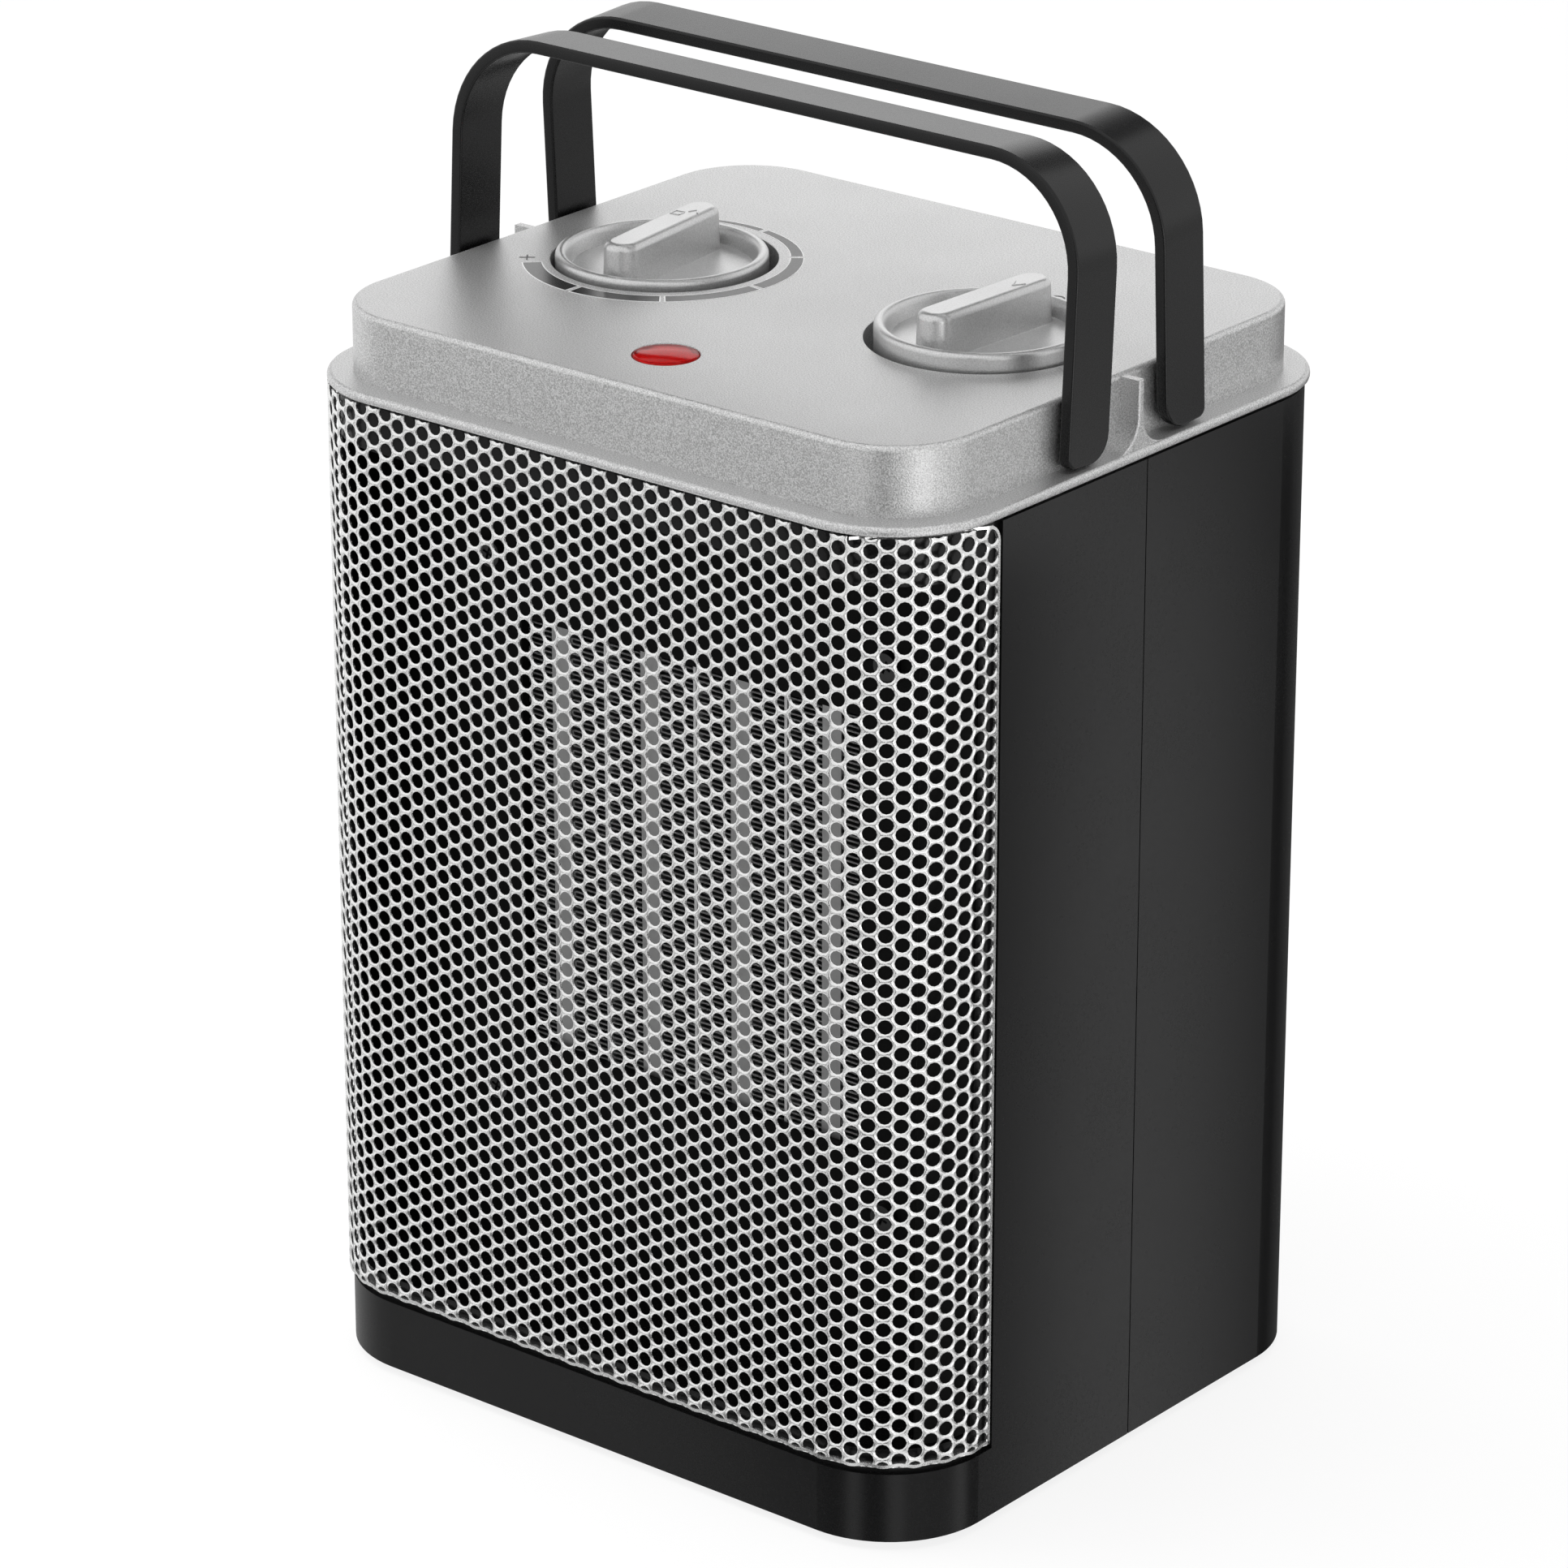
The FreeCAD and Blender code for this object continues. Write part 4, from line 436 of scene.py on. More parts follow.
SILVER = MetallicPaint("silver_paint_finish")
# Lighter than the cover's silver paint: painted light on the knobs. Its gloss, flake depth and flake spread
# are the knobs' own.
KNOB_SILVER_PAINTED_LIGHT = MetallicPaint("knob_paint_finish", colour=(0.63, 0.63, 0.63), gloss=0.36, depth=0.00003,
                            spread=0.12)
SHEET = MetallicPaint("grille_paint_finish", colour=(0.84, 0.84, 0.835), metal=0.9, gloss=0.27,
                      flake=0.00022, depth=0.00001, spread=0.06)
BLACK_SHELL = MouldedPlastic("black_shell_finish", colour=(0.006, 0.006, 0.0062), gloss=0.26, grain=0.0009,
                             depth=0.000003, shine=0.3)
BLACK_STRAP = MouldedPlastic("strap_finish", colour=(0.004, 0.004, 0.0042), gloss=0.27, grain=0.0005,
                             depth=0.000004, shine=0.32)
BLACK_INNER = MouldedPlastic("black_inner_finish", colour=(0.003, 0.003, 0.003), gloss=0.6, depth=0.00002,
                             shine=0.12)
NYLON = MouldedPlastic("nylon_finish", colour=(0.75, 0.75, 0.71), gloss=0.45)
FAN_PLASTIC = MouldedPlastic("fan_finish", colour=(0.03, 0.03, 0.034), gloss=0.42)
CERAMIC = MouldedPlastic("ceramic_finish", colour=(0.78, 0.77, 0.73), gloss=0.25, grain=0.0012)
RUBBER = MouldedPlastic("rubber_finish", colour=(0.015, 0.015, 0.015), gloss=0.75, grain=0.0004,
                        depth=0.00003)
STEEL = BareMetal("bright_steel_finish", colour=(0.55, 0.55, 0.55), gloss=0.25)
ZINC = BareMetal("zinc_finish", colour=(0.58, 0.59, 0.60), gloss=0.38, lines=CAST)
BRASS = BareMetal("brass_finish", colour=(0.78, 0.60, 0.30), gloss=0.3)
ALUMINIUM = BareMetal("aluminium_finish", colour=(0.52, 0.52, 0.52), gloss=0.36, lines=ROLLED)
SCREW = BareMetal("dark_screw_finish", colour=(0.09, 0.09, 0.09), gloss=0.45, lines=CAST)
# Darker than the aluminium: painted shade between the folded fins.
FIN_METAL_PAINTED_SHADE = BareMetal("fin_finish", colour=(0.3, 0.3, 0.3), gloss=0.4, lines=ROLLED)
# Near white: painted highlight on the fins' front edges and on the divider plates.
FIN_EDGE_PAINTED_HIGHLIGHT = BareMetal("fin_edge_finish", colour=(0.92, 0.92, 0.92), gloss=0.6, lines=ROLLED)
RED = Tinted("red_lens_finish")
GLASS = Tinted("lamp_finish", colour=(0.95, 0.75, 0.65), through=0.9, gloss=0.02)
SLEEVE = Woven("sleeve_finish")
DIAL_INK = MouldedPlastic("dial_ink_finish", colour=(0.012, 0.012, 0.012), gloss=0.24, depth=PRINT_DEPTH,
                          shine=0.35)
DIAL_EDGE = MouldedPlastic("dial_edge_finish", colour=(0.82, 0.82, 0.82), gloss=0.4, depth=PRINT_DEPTH)
MARK_INK = MouldedPlastic("mark_ink_finish", colour=(0.02, 0.02, 0.02), gloss=0.4, depth=PRINT_DEPTH)
RED_FACETS = MouldedPlastic("red_facet_finish", colour=(0.95, 0.01, 0.006), gloss=0.35, depth=0.000002,
                            shine=0.05)

DRESS = {
    Slot.SILVER: SILVER, Slot.GRILLE: SHEET, Slot.SHELL: BLACK_SHELL, Slot.HANDLE: BLACK_STRAP,
    Slot.INNER: BLACK_INNER, Slot.NYLON: NYLON, Slot.FAN: FAN_PLASTIC, Slot.CERAMIC: CERAMIC,
    Slot.LENS: RED, Slot.LAMP: GLASS, Slot.RUBBER: RUBBER, Slot.STEEL: STEEL, Slot.ZINC: ZINC,
    Slot.BRASS: BRASS, Slot.ALUMINIUM: ALUMINIUM, Slot.SLEEVE: SLEEVE,
}


# ---------------------------------------------------------------- bench
class Kind(Enum):
    """What a selection picks."""

    VERT = "verts"
    EDGE = "edges"
    FACE = "faces"


class Axis(Enum):
    """Turns that lay an upright rod along an axis."""

    X = (0.0, math.pi / 2, 0.0)
    Z = (0.0, 0.0, 0.0)


Test = Callable[[Vector, Vector], bool]
SIDES = (-1, 1)

# A direction lies across an axis below the first share of its length, and along it above the second.
LEVEL = 0.1
STEEP = 0.9


def near(value: float, target: float, slack: float = 0.02) -> bool:
    """Return whether two lengths agree."""
    return abs(value - target) < slack


def upright(at: Vector, way: Vector) -> bool:
    """Return whether an edge stands upright."""
    return abs(way.z) > STEEP


def upward(at: Vector, out: Vector) -> bool:
    """Return whether a face looks up."""
    return out.z > STEEP


def level_at(height: float) -> Test:
    """Return a test for level edges at a height."""
    return lambda at, way: near(at.z, height) and abs(way.z) < LEVEL


def extrude(step: Point) -> None:
    """Extrude what is selected by a step."""
    bpy.ops.mesh.extrude_region_move(TRANSFORM_OT_translate={"value": Vector(step) * MM})


class Piece:
    """One mesh on the bench, shaped with the usual operators."""

    def __init__(self, name: str) -> None:
        """Take the object in hand as a new piece.

        Args:
            name: the piece's name.
        """
        self.shape = bpy.context.object
        self.rename(name)
        bpy.ops.object.transform_apply(location=True, rotation=True, scale=True)

    def rename(self, name: str) -> None:
        """Give the piece a name."""
        self.name = self.shape.name = name

    @classmethod
    def block(cls, name: str, low: Point, high: Point) -> "Piece":
        """Start from a block.

        Args:
            name: the piece's name.
            low: its corner with the lowest numbers.
            high: the corner across from it.

        Returns:
            The block.
        """
        bpy.ops.object.select_all(action="DESELECT")
        middle = [(a + b) / 2 * MM for a, b in zip(low, high)]
        size = [(b - a) * MM for a, b in zip(low, high)]
        bpy.ops.mesh.primitive_cube_add(size=1.0, location=middle, scale=size)
        return cls(name)

    @classmethod
    def rod(cls, name: str, radius: float, start: Point, length: float, axis: Axis = Axis.Z,
            sides: int = 64) -> "Piece":
        """Start from a rod.

        Args:
            name: the piece's name.
            radius: its radius.
            start: middle of its lower end.
            length: its length along the axis, towards plus.
            axis: its direction.
            sides: how many sides it has.

        Returns:
            The rod.
        """
        bpy.ops.object.select_all(action="DESELECT")
        turn = Euler(axis.value).to_matrix()
        middle = (Vector(start) + turn @ Vector((0.0, 0.0, length / 2))) * MM
        bpy.ops.mesh.primitive_cylinder_add(vertices=sides, radius=radius * MM, depth=length * MM,
                                            location=middle, rotation=axis.value)
        return cls(name)

    @classmethod
    def line(cls, name: str, points: Sequence[Point]) -> "Piece":
        """Start from one point that is extruded along straight runs.

        Args:
            name: the piece's name.
            points: the corners of the line.

        Returns:
            The line, which has edges but no faces.
        """
        bpy.ops.object.select_all(action="DESELECT")
        bpy.ops.mesh.primitive_plane_add(size=0.1 * MM, location=Vector(points[0]) * MM)
        made = cls(name)
        with made.whole(Kind.VERT):
            bpy.ops.mesh.merge(type="CENTER")
            for before, after in zip(points, points[1:]):
                extrude(Vector(after) - Vector(before))
        return made

    @classmethod
    def turned(cls, name: str, profile: Sequence[Point], centre: Point, steps: int) -> "Piece":
        """Turn a profile about an upright line.

        Args:
            name: the piece's name.
            profile: points (radius, height) that start and end on the line, or close on themselves.
            centre: a point of the line, at height 0.
            steps: steps of the turn.

        Returns:
            The turned piece, closed, with its faces outwards.
        """
        x, y, z = centre
        made = cls.line(name, [(x + radius, y, z + height) for radius, height in profile])
        with made.whole():
            bpy.ops.mesh.spin(steps=steps, angle=2 * math.pi, center=Vector(centre) * MM,
                              axis=(0.0, 0.0, 1.0))
        made.close()
        return made

    @staticmethod
    def gather(name: str, pieces: Sequence["Piece"]) -> "Piece":
        """Put several pieces into one mesh.

        Args:
            name: name of the whole.
            pieces: the pieces, at least two.

        Returns:
            The first piece, which holds them all.
        """
        pieces[0].rename(name)
        pieces[0].add(*pieces[1:])
        return pieces[0]

    def hold(self) -> None:
        """Make this the only piece in hand."""
        bpy.ops.object.select_all(action="DESELECT")
        self.shape.select_set(True)
        bpy.context.view_layer.objects.active = self.shape

    @contextmanager
    def whole(self, kind: Optional[Kind] = None) -> Iterator[None]:
        """Keep the whole piece selected in edit mode meanwhile.

        Args:
            kind: points, edges or faces, or none for what was picked last.
        """
        self.hold()
        bpy.ops.object.mode_set(mode="EDIT")
        if kind is not None:
            bpy.ops.mesh.select_mode(type=kind.name)
        bpy.ops.mesh.select_all(action="SELECT")
        yield
        bpy.ops.object.mode_set(mode="OBJECT")

    @contextmanager
    def picked(self, kind: Kind, test: Test) -> Iterator[None]:
        """Keep what a test passes selected in edit mode meanwhile.

        Args:
            kind: edges or faces.
            test: takes a middle in millimetres and a normal, or an edge's direction.
        """
        with self.whole(kind):
            bpy.ops.mesh.select_all(action="DESELECT")
            mesh = bmesh.from_edit_mesh(self.shape.data)
            for item in getattr(mesh, kind.value):
                if kind is Kind.EDGE:
                    first, second = item.verts[0].co, item.verts[1].co
                    middle, way = (first + second) / 2, (second - first).normalized()
                else:
                    middle, way = item.calc_center_median(), item.normal
                if test(middle / MM, way):
                    item.select_set(True)
            bmesh.update_edit_mesh(self.shape.data)
            yield

    def bevel(self, test: Test, width: float, segments: int) -> None:
        """Round the edges that a test picks."""
        with self.picked(Kind.EDGE, test):
            bpy.ops.mesh.bevel(offset=width * MM, segments=segments, profile=0.5, affect="EDGES")

    def inset(self, test: Test, width: float, rise: float) -> None:
        """Inset the faces that a test picks, then raise them.

        Args:
            test: takes a face's middle and normal.
            width: how far the inset goes inwards.
            rise: how high the faces are raised.
        """
        with self.picked(Kind.FACE, test):
            bpy.ops.mesh.inset(thickness=width * MM, depth=0.0)
            extrude((0.0, 0.0, rise))

    def stretch(self, test: Test, factors: Point, centre: Point) -> None:
        """Resize the faces that a test picks about a point."""
        with self.picked(Kind.FACE, test):
            bpy.ops.transform.resize(value=factors, center_override=Vector(centre) * MM)

    def trim(self, place: Point, out: Point) -> None:
        """Cut away what lies beyond a plane through a place."""
        with self.whole():
            bpy.ops.mesh.bisect(plane_co=Vector(place) * MM, plane_no=out, clear_outer=True, threshold=1e-6)

    def reshape(self, rule: Callable[[Vector], Vector]) -> None:
        """Move every point.

        Args:
            rule: takes a point's place and returns the new one.
        """
        for vert in self.shape.data.vertices:
            vert.co = rule(vert.co / MM) * MM
        self.shape.data.update()

    def turn(self, turning: Matrix, centre: Point) -> None:
        """Turn the piece about a point.

        Args:
            turning: the turn, whose own shift is in metres.
            centre: the point that stays.
        """
        self.hold()
        about = Matrix.Translation(Vector(centre) * MM)
        self.shape.matrix_world = about @ turning @ about.inverted()
        bpy.ops.object.transform_apply(location=True, rotation=True, scale=True)

    def swing(self, degrees: float, axis: str, centre: Point) -> None:
        """Turn the piece by an angle about an axis through a point."""
        self.turn(Matrix.Rotation(math.radians(degrees), 4, axis), centre)

    def move(self, step: Point) -> None:
        """Shift the piece."""
        self.turn(Matrix.Translation(Vector(step) * MM), (0.0, 0.0, 0.0))

    def close(self) -> None:
        """Merge doubled points and point the faces outwards."""
        with self.whole():
            bpy.ops.mesh.remove_doubles(threshold=0.002 * MM)
            bpy.ops.mesh.normals_make_consistent(inside=False)

    def modify(self, kind: str, **settings: object) -> None:
        """Add one modifier and apply it.

        Args:
            kind: the modifier's type.
            settings: its settings.
        """
        self.hold()
        bpy.ops.object.modifier_add(type=kind)
        made = self.shape.modifiers[-1]
        for key, value in settings.items():
            setattr(made, key, value)
        bpy.ops.object.modifier_apply(modifier=made.name)

    def repeat(self, count: int, step: Point) -> None:
        """Lay copies in a row and weld them where they meet."""
        self.modify("ARRAY", count=count, use_relative_offset=False, use_constant_offset=True,
                    constant_offset_displace=Vector(step) * MM, use_merge_vertices=True, merge_threshold=WELD)

    def thicken(self, thickness: float, offset: float = 0.0) -> None:
        """Give a sheet its thickness, half on each side, or inwards where the offset is -1."""
        self.modify("SOLIDIFY", thickness=thickness * MM, offset=offset, use_even_offset=False)

    def combine(self, operation: str, *others: "Piece", overlap: bool = False) -> None:
        """Run one boolean with each other piece, and throw the others away.

        Args:
            operation: DIFFERENCE, UNION or INTERSECT.
            others: the pieces that cut, join or bound this one.
            overlap: whether the piece's own solids overlap.
        """
        for other in others:
            self.modify("BOOLEAN", object=other.shape, operation=operation, solver="EXACT", use_self=overlap)
            other.discard()

    def cut(self, *tools: "Piece") -> None:
        """Cut tools out of the piece."""
        self.combine("DIFFERENCE", *tools)

    def fuse(self, *others: "Piece") -> None:
        """Join solids to the piece."""
        self.combine("UNION", *others)

    def discard(self) -> None:
        """Throw the piece away."""
        bpy.data.objects.remove(self.shape)

    def copy(self, name: str) -> "Piece":
        """Copy the piece.

        Args:
            name: the copy's name.

        Returns:
            The copy, with its own mesh.
        """
        self.hold()
        bpy.ops.object.duplicate()
        return Piece(name)

    def mirror(self) -> None:
        """Turn the piece into its mirror image across the middle plane."""
        self.hold()
        self.shape.scale = (-1.0, 1.0, 1.0)
        bpy.ops.object.transform_apply(location=True, rotation=True, scale=True)
        self.close()

    def twin(self, name: str) -> "Piece":
        """Copy the piece to the other side.

        Args:
            name: the copy's name.

        Returns:
            The copy, mirrored across the middle plane.
        """
        made = self.copy(name)
        made.mirror()
        return made

    def add(self, *others: "Piece") -> None:
        """Put other pieces into this mesh as they are.

        Args:
            others: the pieces, at least one.
        """
        self.hold()
        for other in others:
            other.shape.select_set(True)
        bpy.ops.object.join()

    def soften(self, width: float, segments: int, angle: float) -> None:
        """Round every edge that is sharper than an angle in degrees."""
        self.modify("BEVEL", width=width * MM, segments=segments, limit_method="ANGLE",
                    angle_limit=math.radians(angle), harden_normals=False)

    def dress(self, slot: Slot, body: Body, *nodes: str, finish: Optional[Finish] = None,
              angle: float = 32.0) -> None:
        """Shade the piece, give it its finish, parent it to its body's empty and hide the nodes it stands
        for.

        Args:
            slot: the record's slot.
            body: the body that it moves with.
            nodes: the nodes it stands for.
            finish: a finish other than the slot's own.
            angle: sharpest edge that is still shaded smooth, in degrees.
        """
        self.hold()
        bpy.ops.object.shade_smooth_by_angle(angle=math.radians(angle))
        self.modify("WEIGHTED_NORMAL", keep_sharp=True)
        self.shape.data.materials.clear()
        self.shape.data.materials.append((finish or DRESS[slot]).material())
        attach(self.shape, body.value)
        if nodes:
            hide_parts(*nodes)
        LOG.info("%s: %d faces", self.name, len(self.shape.data.polygons))


# ---------------------------------------------------------------- grille
@dataclass
class Grille:
    """Punched sheet that wraps both front corners, and the dark cheeks behind its bends."""

    pitch: float = 4.0
    column: float = 3.43
    hole: float = 1.6
    rim: float = 1.92
    rim_depth: float = 0.26
    sheet: float = 0.78
    sides: int = 12
    flat_columns: float = 17.5
    side_columns: int = 15
    face: float = -74.95
    low: float = 19.6
    high: float = 224.15
    row_start: float = 0.15
    bend: float = 24.95
    reach: float = 2.4
    top_corner: float = 4.0
    hem: float = 0.7
    hem_lap: float = 0.25
    hem_wave: float = 0.28
    hem_steps: int = 8
    hem_rise: float = 0.02
    hem_end: float = 0.1
    side_hem: float = 0.62
    side_hem_lap: float = 0.3
    corner_fill: float = 30.0
    corner_lap: float = 0.2
    cheek_start: float = 52.0
    cheek_depth: tuple[float, float] = (2.4, 3.2)
    cheek_low: float = 23.6
    cheek_top: float = 219.0
    cheek_margin: float = 0.6
    cheek_steps: int = 16
    shading: float = 50.0

    def edge(self) -> float:
        """Return half of the flat part's width."""
        return self.flat_columns * self.column

    def half_width(self) -> float:
        """Return half of the sheet's width before it is bent."""
        return self.edge() + math.pi / 2 * self.bend + self.reach

    def cell(self) -> Piece:
        """Model one hole with its rounded rim and the six-sided bit of sheet round it.

        Returns:
            The cell, lying in the plane of the sheet.
        """
        bpy.ops.object.select_all(action="DESELECT")
        bpy.ops.mesh.primitive_circle_add(vertices=self.sides, radius=self.hole * MM, fill_type="NOTHING",
                                          rotation=(math.pi / 2, 0.0, 0.0))
        made = Piece("grille_cell")
        grow = self.rim / self.hole
        with made.whole():
            extrude((0.0, -self.rim_depth, 0.0))
            bpy.ops.transform.resize(value=(grow, 1.0, grow), center_override=(0.0, 0.0, 0.0))
            extrude((0.0, 0.0, 0.0))
        between, corners = 360 // self.sides, {}
        for turn in range(0, 360, 60):
            angle = math.radians(turn)
            tall = self.pitch / 2 * math.sin(angle) / math.sin(math.pi / 3)
            corners[turn] = Vector((self.column * 2 / 3 * math.cos(angle), 0.0, tall))
        for vert in made.shape.data.vertices[2 * self.sides:]:
            turn = round(math.degrees(math.atan2(vert.co.z, vert.co.x)) / between) * between % 360
            if turn in corners:
                spot = corners[turn]
            else:
                spot = (corners[turn - between] + corners[(turn + between) % 360]) / 2
            vert.co.x, vert.co.z = spot.x * MM, spot.z * MM
        return made

    def sheet_piece(self, name: str, first: int, count: int) -> Piece:
        """Lay columns of cells side by side.

        Args:
            name: the piece's name.
            first: number of the first column, counted from the middle.
            count: how many columns there are.

        Returns:
            A flat sheet of single faces that looks to the front.
        """
        made = self.cell()
        odd = made.copy("grille_odd")
        odd.move((self.column, 0.0, self.pitch / 2))
        made.add(odd)
        made.repeat(int((self.high - self.low) / self.pitch) + 3, (0.0, 0.0, self.pitch))
        made.repeat((count + 1) // 2, (2 * self.column, 0.0, 0.0))
        made.rename(name)
        stagger = self.pitch / 2 if first % 2 else 0.0
        made.move((first * self.column, self.rim_depth, self.low - self.row_start - stagger))
        return made

    def border(self, start: float, end: float) -> Piece:
        """Model the plain hem that closes the cut holes along the lower edge.

        Args:
            start: where the strip starts along the sheet.
            end: where it ends.

        Returns:
            A flat strip of single faces.
        """
        steps = round((end - start) / self.column * self.hem_steps)
        made = Piece.line("grille_hem", [(start, 0.0, self.low), (start, 0.0, self.low + self.hem)])
        with made.whole():
            for _ in range(steps):
                extrude(((end - start) / steps, 0.0, 0.0))
        wave = self.hem_wave
        made.reshape(lambda at: at + Vector((0.0, 0.0, wave - wave * math.cos(math.pi * at.x / self.column))))
        return made

    def side_border(self) -> Piece:
        """Model the plain strip down the sheet's side, with its rounded upper corner.

        Returns:
            A flat strip of single faces.
        """
        end, radius, low = self.half_width(), self.top_corner, self.low + self.side_hem_lap
        made = Piece.line("grille_side_hem", [(end, 0.0, low), (end - self.side_hem, 0.0, low)])
        with made.whole():
            extrude((0.0, 0.0, self.high - radius - low))
            bpy.ops.mesh.spin(steps=8, angle=math.pi / 2, axis=(0.0, 1.0, 0.0),
                              center=Vector((end - radius, 0.0, self.high - radius)) * MM)
            extrude((-self.corner_fill, 0.0, 0.0))
        return made

    def cheek(self) -> Piece:
        """Model the dark inner wall that stands behind one wrapped side.

        Returns:
            The wall, flat like the sheet, in strips that can be bent.
        """
        start = self.edge() + math.radians(self.cheek_start) * self.bend
        end, (front, back) = self.half_width() - self.cheek_margin, self.cheek_depth
        made = Piece.block("grille_cheek_right", (start, front, self.cheek_low), (end, back, self.cheek_top))
        with made.whole():
            for step in range(1, self.cheek_steps):
                at = start + (end - start) * step / self.cheek_steps
                bpy.ops.mesh.bisect(plane_co=(at * MM, 0.0, 0.0), plane_no=(1.0, 0.0, 0.0))
                bpy.ops.mesh.select_all(action="SELECT")
        return made

    def trim_height(self, piece: Piece) -> None:
        """Trim a sheet to the lower and the upper edge."""
        piece.trim((0.0, 0.0, self.low + self.hem_lap), (0.0, 0.0, -1.0))
        piece.trim((0.0, 0.0, self.high), (0.0, 0.0, 1.0))

    def trim_side(self, piece: Piece) -> None:
        """Trim a sheet to the side and the rounded upper corner.

        Args:
            piece: the flat sheet.
        """
        end, radius = self.half_width(), self.top_corner
        piece.trim((end - self.side_hem_lap, 0.0, 0.0), (1.0, 0.0, 0.0))
        middle = Vector((end - radius, 0.0, self.high - radius))
        for angle in (22.5, 45.0, 67.5):
            out = Vector((math.cos(math.radians(angle)), 0.0, math.sin(math.radians(angle))))
            piece.trim(middle + out * (radius - self.corner_lap), out)

    def press(self, piece: Piece) -> None:
        """Face a sheet forwards and give it its thickness.

        Args:
            piece: a sheet of single faces.
        """
        piece.close()
        if sum(face.normal.y * face.area for face in piece.shape.data.polygons) > 0:
            with piece.whole():
                bpy.ops.mesh.flip_normals()
        piece.thicken(self.sheet, -1.0)

    def hem_sheet(self, piece: Piece, *hems: Piece) -> None:
        """Press a sheet and lay its hems on it, a hair proud of its face.

        Args:
            piece: the trimmed sheet.
            hems: flat strips along its edges.
        """
        self.press(piece)
        for hem in hems:
            self.press(hem)
            hem.move((0.0, -self.hem_rise, 0.0))
            piece.add(hem)

    def wrap(self, piece: Piece) -> None:
        """Bend a side piece round its corner.

        Args:
            piece: a piece that lies flat, past the middle's edge.
        """
        start, radius = self.edge(), self.bend
        piece.move((-start, 0.0, 0.0))

        def bent(at: Vector) -> Vector:
            """Bend the flat sheet at one point.

            Args:
                at: the point, before the bend.

            Returns:
                Where it lies once the sheet is bent.
            """
            angle = min(max(at.x / radius, 0.0), math.pi / 2)
            tail, out = at.x - angle * radius, radius - at.y
            return Vector((math.sin(angle) * out + math.cos(angle) * tail,
                           radius - math.cos(angle) * out + math.sin(angle) * tail, at.z))

        piece.reshape(bent)
        piece.move((start, self.face, 0.0))

    def build(self) -> None:
        """Make the flat middle in two halves, the two bent sides and the cheeks."""
        edge, columns = self.edge(), int(self.flat_columns)
        middle = self.sheet_piece("front_grille_middle_right", -1, columns + 3)
        middle.trim((edge, 0.0, 0.0), (1.0, 0.0, 0.0))
        middle.trim((0.0, 0.0, 0.0), (-1.0, 0.0, 0.0))
        self.trim_height(middle)
        self.hem_sheet(middle, self.border(0.0, edge))
        middle.move((0.0, self.face, 0.0))
        sheets = [middle, middle.twin("front_grille_middle_left")]
        right = self.sheet_piece("front_grille_right", columns, self.side_columns)
        right.trim((edge, 0.0, 0.0), (-1.0, 0.0, 0.0))
        self.trim_height(right)
        self.trim_side(right)
        self.hem_sheet(right, self.border(edge, self.half_width() - self.hem_end), self.side_border())
        self.wrap(right)
        sheets += [right, right.twin("front_grille_left")]
        cheek = self.cheek()
        self.wrap(cheek)
        for piece in (cheek, cheek.twin("grille_cheek_left")):
            piece.dress(Slot.INNER, Body.HEATER)
        for piece in sheets:
            piece.dress(Slot.GRILLE, Body.HEATER, "front_grille", angle=self.shading)


